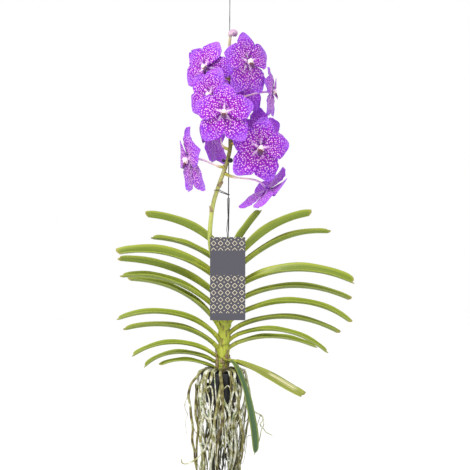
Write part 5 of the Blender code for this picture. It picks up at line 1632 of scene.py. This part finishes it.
# Painted shade: roots in the middle of the mass, near the pot's axis, are painted darker than those on its
# outside, for the shade inside the mass
flat_place = add(
    tree, "ShaderNodeVectorMath", {1: (1.0, 1.0, 0.0)}, {0: (where, "Object")}, operation="MULTIPLY"
)
from_axis = add(
    tree, "ShaderNodeVectorMath", {1: (POT_X, -SHANK_BACK, 0.0)}, {0: (flat_place, "Vector")},
    operation="DISTANCE",
)
inner_painted_shade = add(
    tree, "ShaderNodeMapRange", {"From Min": 0.021, "From Max": 0.041, "To Min": 0.94, "To Max": 0.0},
    {"Value": (from_axis, "Value")},
)
tipped = add(
    tree, "ShaderNodeMix", {7: linear("#2b2a16")}, {0: (inner_painted_shade, "Result"), 6: (tipped, 2)}, data_type="RGBA"
)
rough = add(tree, "ShaderNodeMapRange", {"To Min": 0.72, "To Max": 0.95}, {"Value": (cracks, "Fac")})
finish_off(tree, shader, (tipped, 2), (rough, "Result"), (cracks, "Fac"), 0.5, 0.0006)

form = new_form()
draw = random.Random(ROOT_SEED)
fine = random.Random(WANDER_SEED)
crown_path = [Vector((POT_X, 0, RIM_Z + h)) for h in (CANE_FOOT - GAP, CANE_FOOT - 0.007, -CROWN_DEPTH)]
tube(form, smooth_path(crown_path, 6), [0.0070, CROWN_RADIUS, 0.0060], 20)
trunks = []


def add_root(points, thickness, mark):
    """One root with a slight wander and knuckles, tapering to a blunt tip."""
    radii = [thickness, thickness * draw.uniform(0.85, 1.0), thickness * 0.9, thickness * 0.45]
    path = smooth_path(points, 8)
    phase = fine.uniform(0, 6.28)
    for k in range(len(path)):
        calm = min(1.0, max(0.0, (k - 24) / 16))
        sway = 0.0007 * calm
        path[k] = path[k] + Vector((sway * math.sin(0.7 * k + phase), sway * math.cos(0.53 * k + phase), 0))
    spread = [0.0, 0.34, 0.67, 0.94, 0.985, 1.0]
    values = np.interp(spread, [0, 0.333, 0.667, 1.0], radii)
    values[-2] *= 0.85
    values[-1] *= 0.35
    along = np.linspace(0, 1, len(path))
    knuckle = 1 + 0.07 * np.sin(along * fine.uniform(40, 70) + phase)
    tube(form, path, list(np.interp(along, spread, values) * knuckle), 10, mark=mark)
    trunks.append((path, thickness))


for radius, azimuth, *points in SHOWN_ROOTS:
    beyond = [Vector(p) + Vector((POT_X, 0, RIM_Z)) for p in points]
    add_root(rim_crossing(radius, azimuth) + beyond, radius, fine.random())
for radius, azimuth, height, *points in SLOT_ROOTS:
    beyond = [Vector(p) + Vector((POT_X, 0, RIM_Z)) for p in points]
    add_root(slot_crossing(azimuth, height) + beyond, radius, fine.random())
for k in range(ROOTS_THROUGH):
    path = hanging_points(draw, 137.5 * k, math.sqrt((k + 0.5) / ROOTS_THROUGH))
    add_root(path, draw.uniform(0.0019, 0.0028), fine.random())
show("aerial_roots_main", form, [velamen], "aerial_roots")


def beside_wall(point):
    """Whether a point is above the pot's foot and inside or just outside its wall."""
    aside = math.hypot(point.x - POT_X, point.y)
    return point.z > RIM_Z - POT_HEIGHT - WALL_MARGIN and aside < RIM_RADIUS + WALL_MARGIN


form = new_form()
for k in range(SIDE_ROOTS):
    path, thickness = trunks[k % len(trunks)]
    first = int(len(path) * fine.uniform(0.35, 0.72))
    # A side root that would start by the pot's wall starts below the pot instead
    while first < len(path) - 1 and beside_wall(path[first]):
        first += 1
    start = path[first]
    points = [start]
    drift = Vector((fine.uniform(-1, 1), fine.uniform(-1, 1), 0)) * (0.006 if k < CLOSE_SIDE_ROOTS else 0.013)
    for j in range(1, 7):
        fall = 0.013 * j * fine.uniform(0.7, 1.2)
        wander = Vector((fine.uniform(-1, 1), fine.uniform(-1, 1), 0)) * 0.004
        spot = start + drift * (j / 2) + wander + Vector((0, 0, -fall))
        middle = Vector((POT_X, -0.004, spot.z))
        spot = spot.lerp(middle, 0.06 * j)
        spot.z = max(spot.z, LOWEST_ROOT)
        # While it is as high as the pot, a side root stays outside the wall
        if beside_wall(spot):
            aside = Vector((spot.x - POT_X, spot.y, 0)).normalized() * (RIM_RADIUS + CLEAR_OF_WALL)
            spot.x, spot.y = POT_X + aside.x, aside.y
        points.append(spot)
    size = fine.uniform(0.0005, 0.0011)
    tube(form, smooth_path(points, 6), [size, size * 0.9, size * 0.8, size * 0.4], 7, mark=fine.random())
for k in range(DRAPED_ROOTS):
    size = fine.uniform(0.0009, 0.0017)
    azimuth = -90 + (k - 8.5) * 10.5 + fine.uniform(-5, 5)
    if LEAF_FROM < azimuth < LEAF_TO:
        azimuth -= LEAF_DETOUR
    # Every third root grows out of the slot nearest its way, and the others cross the rim
    slot_step = 360 / SLOT_COUNT
    through = slot_crossing(slot_step * round(azimuth / slot_step), -0.026)
    points = rim_crossing(size, azimuth) if k % 3 else through
    reach = RIM_RADIUS + CLEAR_OF_WALL
    for j in range(1, fine.randint(5, 9)):
        fall = -0.022 * j * fine.uniform(0.85, 1.15)
        azimuth += fine.uniform(-9, 9)
        reach = max(0.016, reach - fine.uniform(0.0005, 0.0035))
        points.append(around_pot(reach + 0.003, azimuth, fall))
        points[-1].y *= 0.96
    tube(form, smooth_path(points, 7), [size, size, size * 0.9, size * 0.5], 8, mark=fine.random())
# The young roots are short, thick and white
for azimuth, size, mark in YOUNG_ROOTS:
    points = rim_crossing(size, azimuth)
    points += [
        around_pot(RIM_RADIUS + CLEAR_OF_WALL, azimuth - 3, -0.010),
        around_pot(RIM_RADIUS + 0.005, azimuth - 6, -0.017),
    ]
    tube(form, smooth_path(points, 7), [size, size, size, size * 0.9, size * 0.4], 10, mark=mark)
show("aerial_roots_side", form, [velamen], "aerial_roots")

# Studio: a pale floor below the hanging plant, white air all round, one large soft lamp from
# the upper left in front and a weaker one from the right.
floor_mesh = bpy.data.meshes.new("studio_floor")
span = 12.0
FLOOR_Z = -1.25
floor_mesh.from_pydata(
    [(-span, -span, 0), (span, -span, 0), (span, span, 0), (-span, span, 0)], [], [(0, 1, 2, 3)]
)
floor = bpy.data.objects.new("studio_floor", floor_mesh)
bpy.context.scene.collection.objects.link(floor)
floor.location = (0, 0, FLOOR_Z)
paper, tree, shader = new_finish("white_studio_paper", 0.9)
where = add(tree, "ShaderNodeTexCoord")
tooth = add(tree, "ShaderNodeTexNoise", {"Scale": 60.0, "Detail": 2.0}, {"Vector": (where, "Object")})
tone = add(
    tree, "ShaderNodeValToRGB", links={"Fac": (tooth, "Fac")}, stops=[(0.3, "#fafaf9"), (0.7, "#fdfdfc")]
)
tree.links.new(tone.outputs["Color"], shader.inputs["Base Color"])
shader.inputs["Emission Color"].default_value = linear("#ffffff")
shader.inputs["Emission Strength"].default_value = 0.05
floor_mesh.materials.append(paper)

world = bpy.data.worlds.new("studio_air")
world.use_nodes = True
world.node_tree.nodes["Background"].inputs["Color"].default_value = linear("#ffffff")
world.node_tree.nodes["Background"].inputs["Strength"].default_value = 1.0
bpy.context.scene.world = world
bpy.context.scene.view_settings.view_transform = "Standard"
for name, spot, size, power in (
    ("key_lamp", (-1.2, -1.6, 1.7), 0.9, 66.0),
    ("fill_lamp", (2.0, -1.8, 0.2), 1.6, 8.0),
):
    lamp_data = bpy.data.lights.new(name, "AREA")
    lamp_data.size = size
    lamp_data.energy = power
    lamp = bpy.data.objects.new(name, lamp_data)
    lamp.location = spot
    lamp.rotation_euler = (Vector((0, -0.02, -0.42)) - Vector(spot)).to_track_quat("-Z", "Y").to_euler()
    bpy.context.scene.collection.objects.link(lamp)

camera_data = bpy.data.cameras.new("front_camera")
camera_data.sensor_width = 36.0
camera_data.lens = 117.1
camera = bpy.data.objects.new("front_camera", camera_data)
camera.location = (0.0088, -2.618, -0.430)
camera.rotation_euler = (math.radians(90), 0, 0)
bpy.context.scene.collection.objects.link(camera)
bpy.context.scene.camera = camera
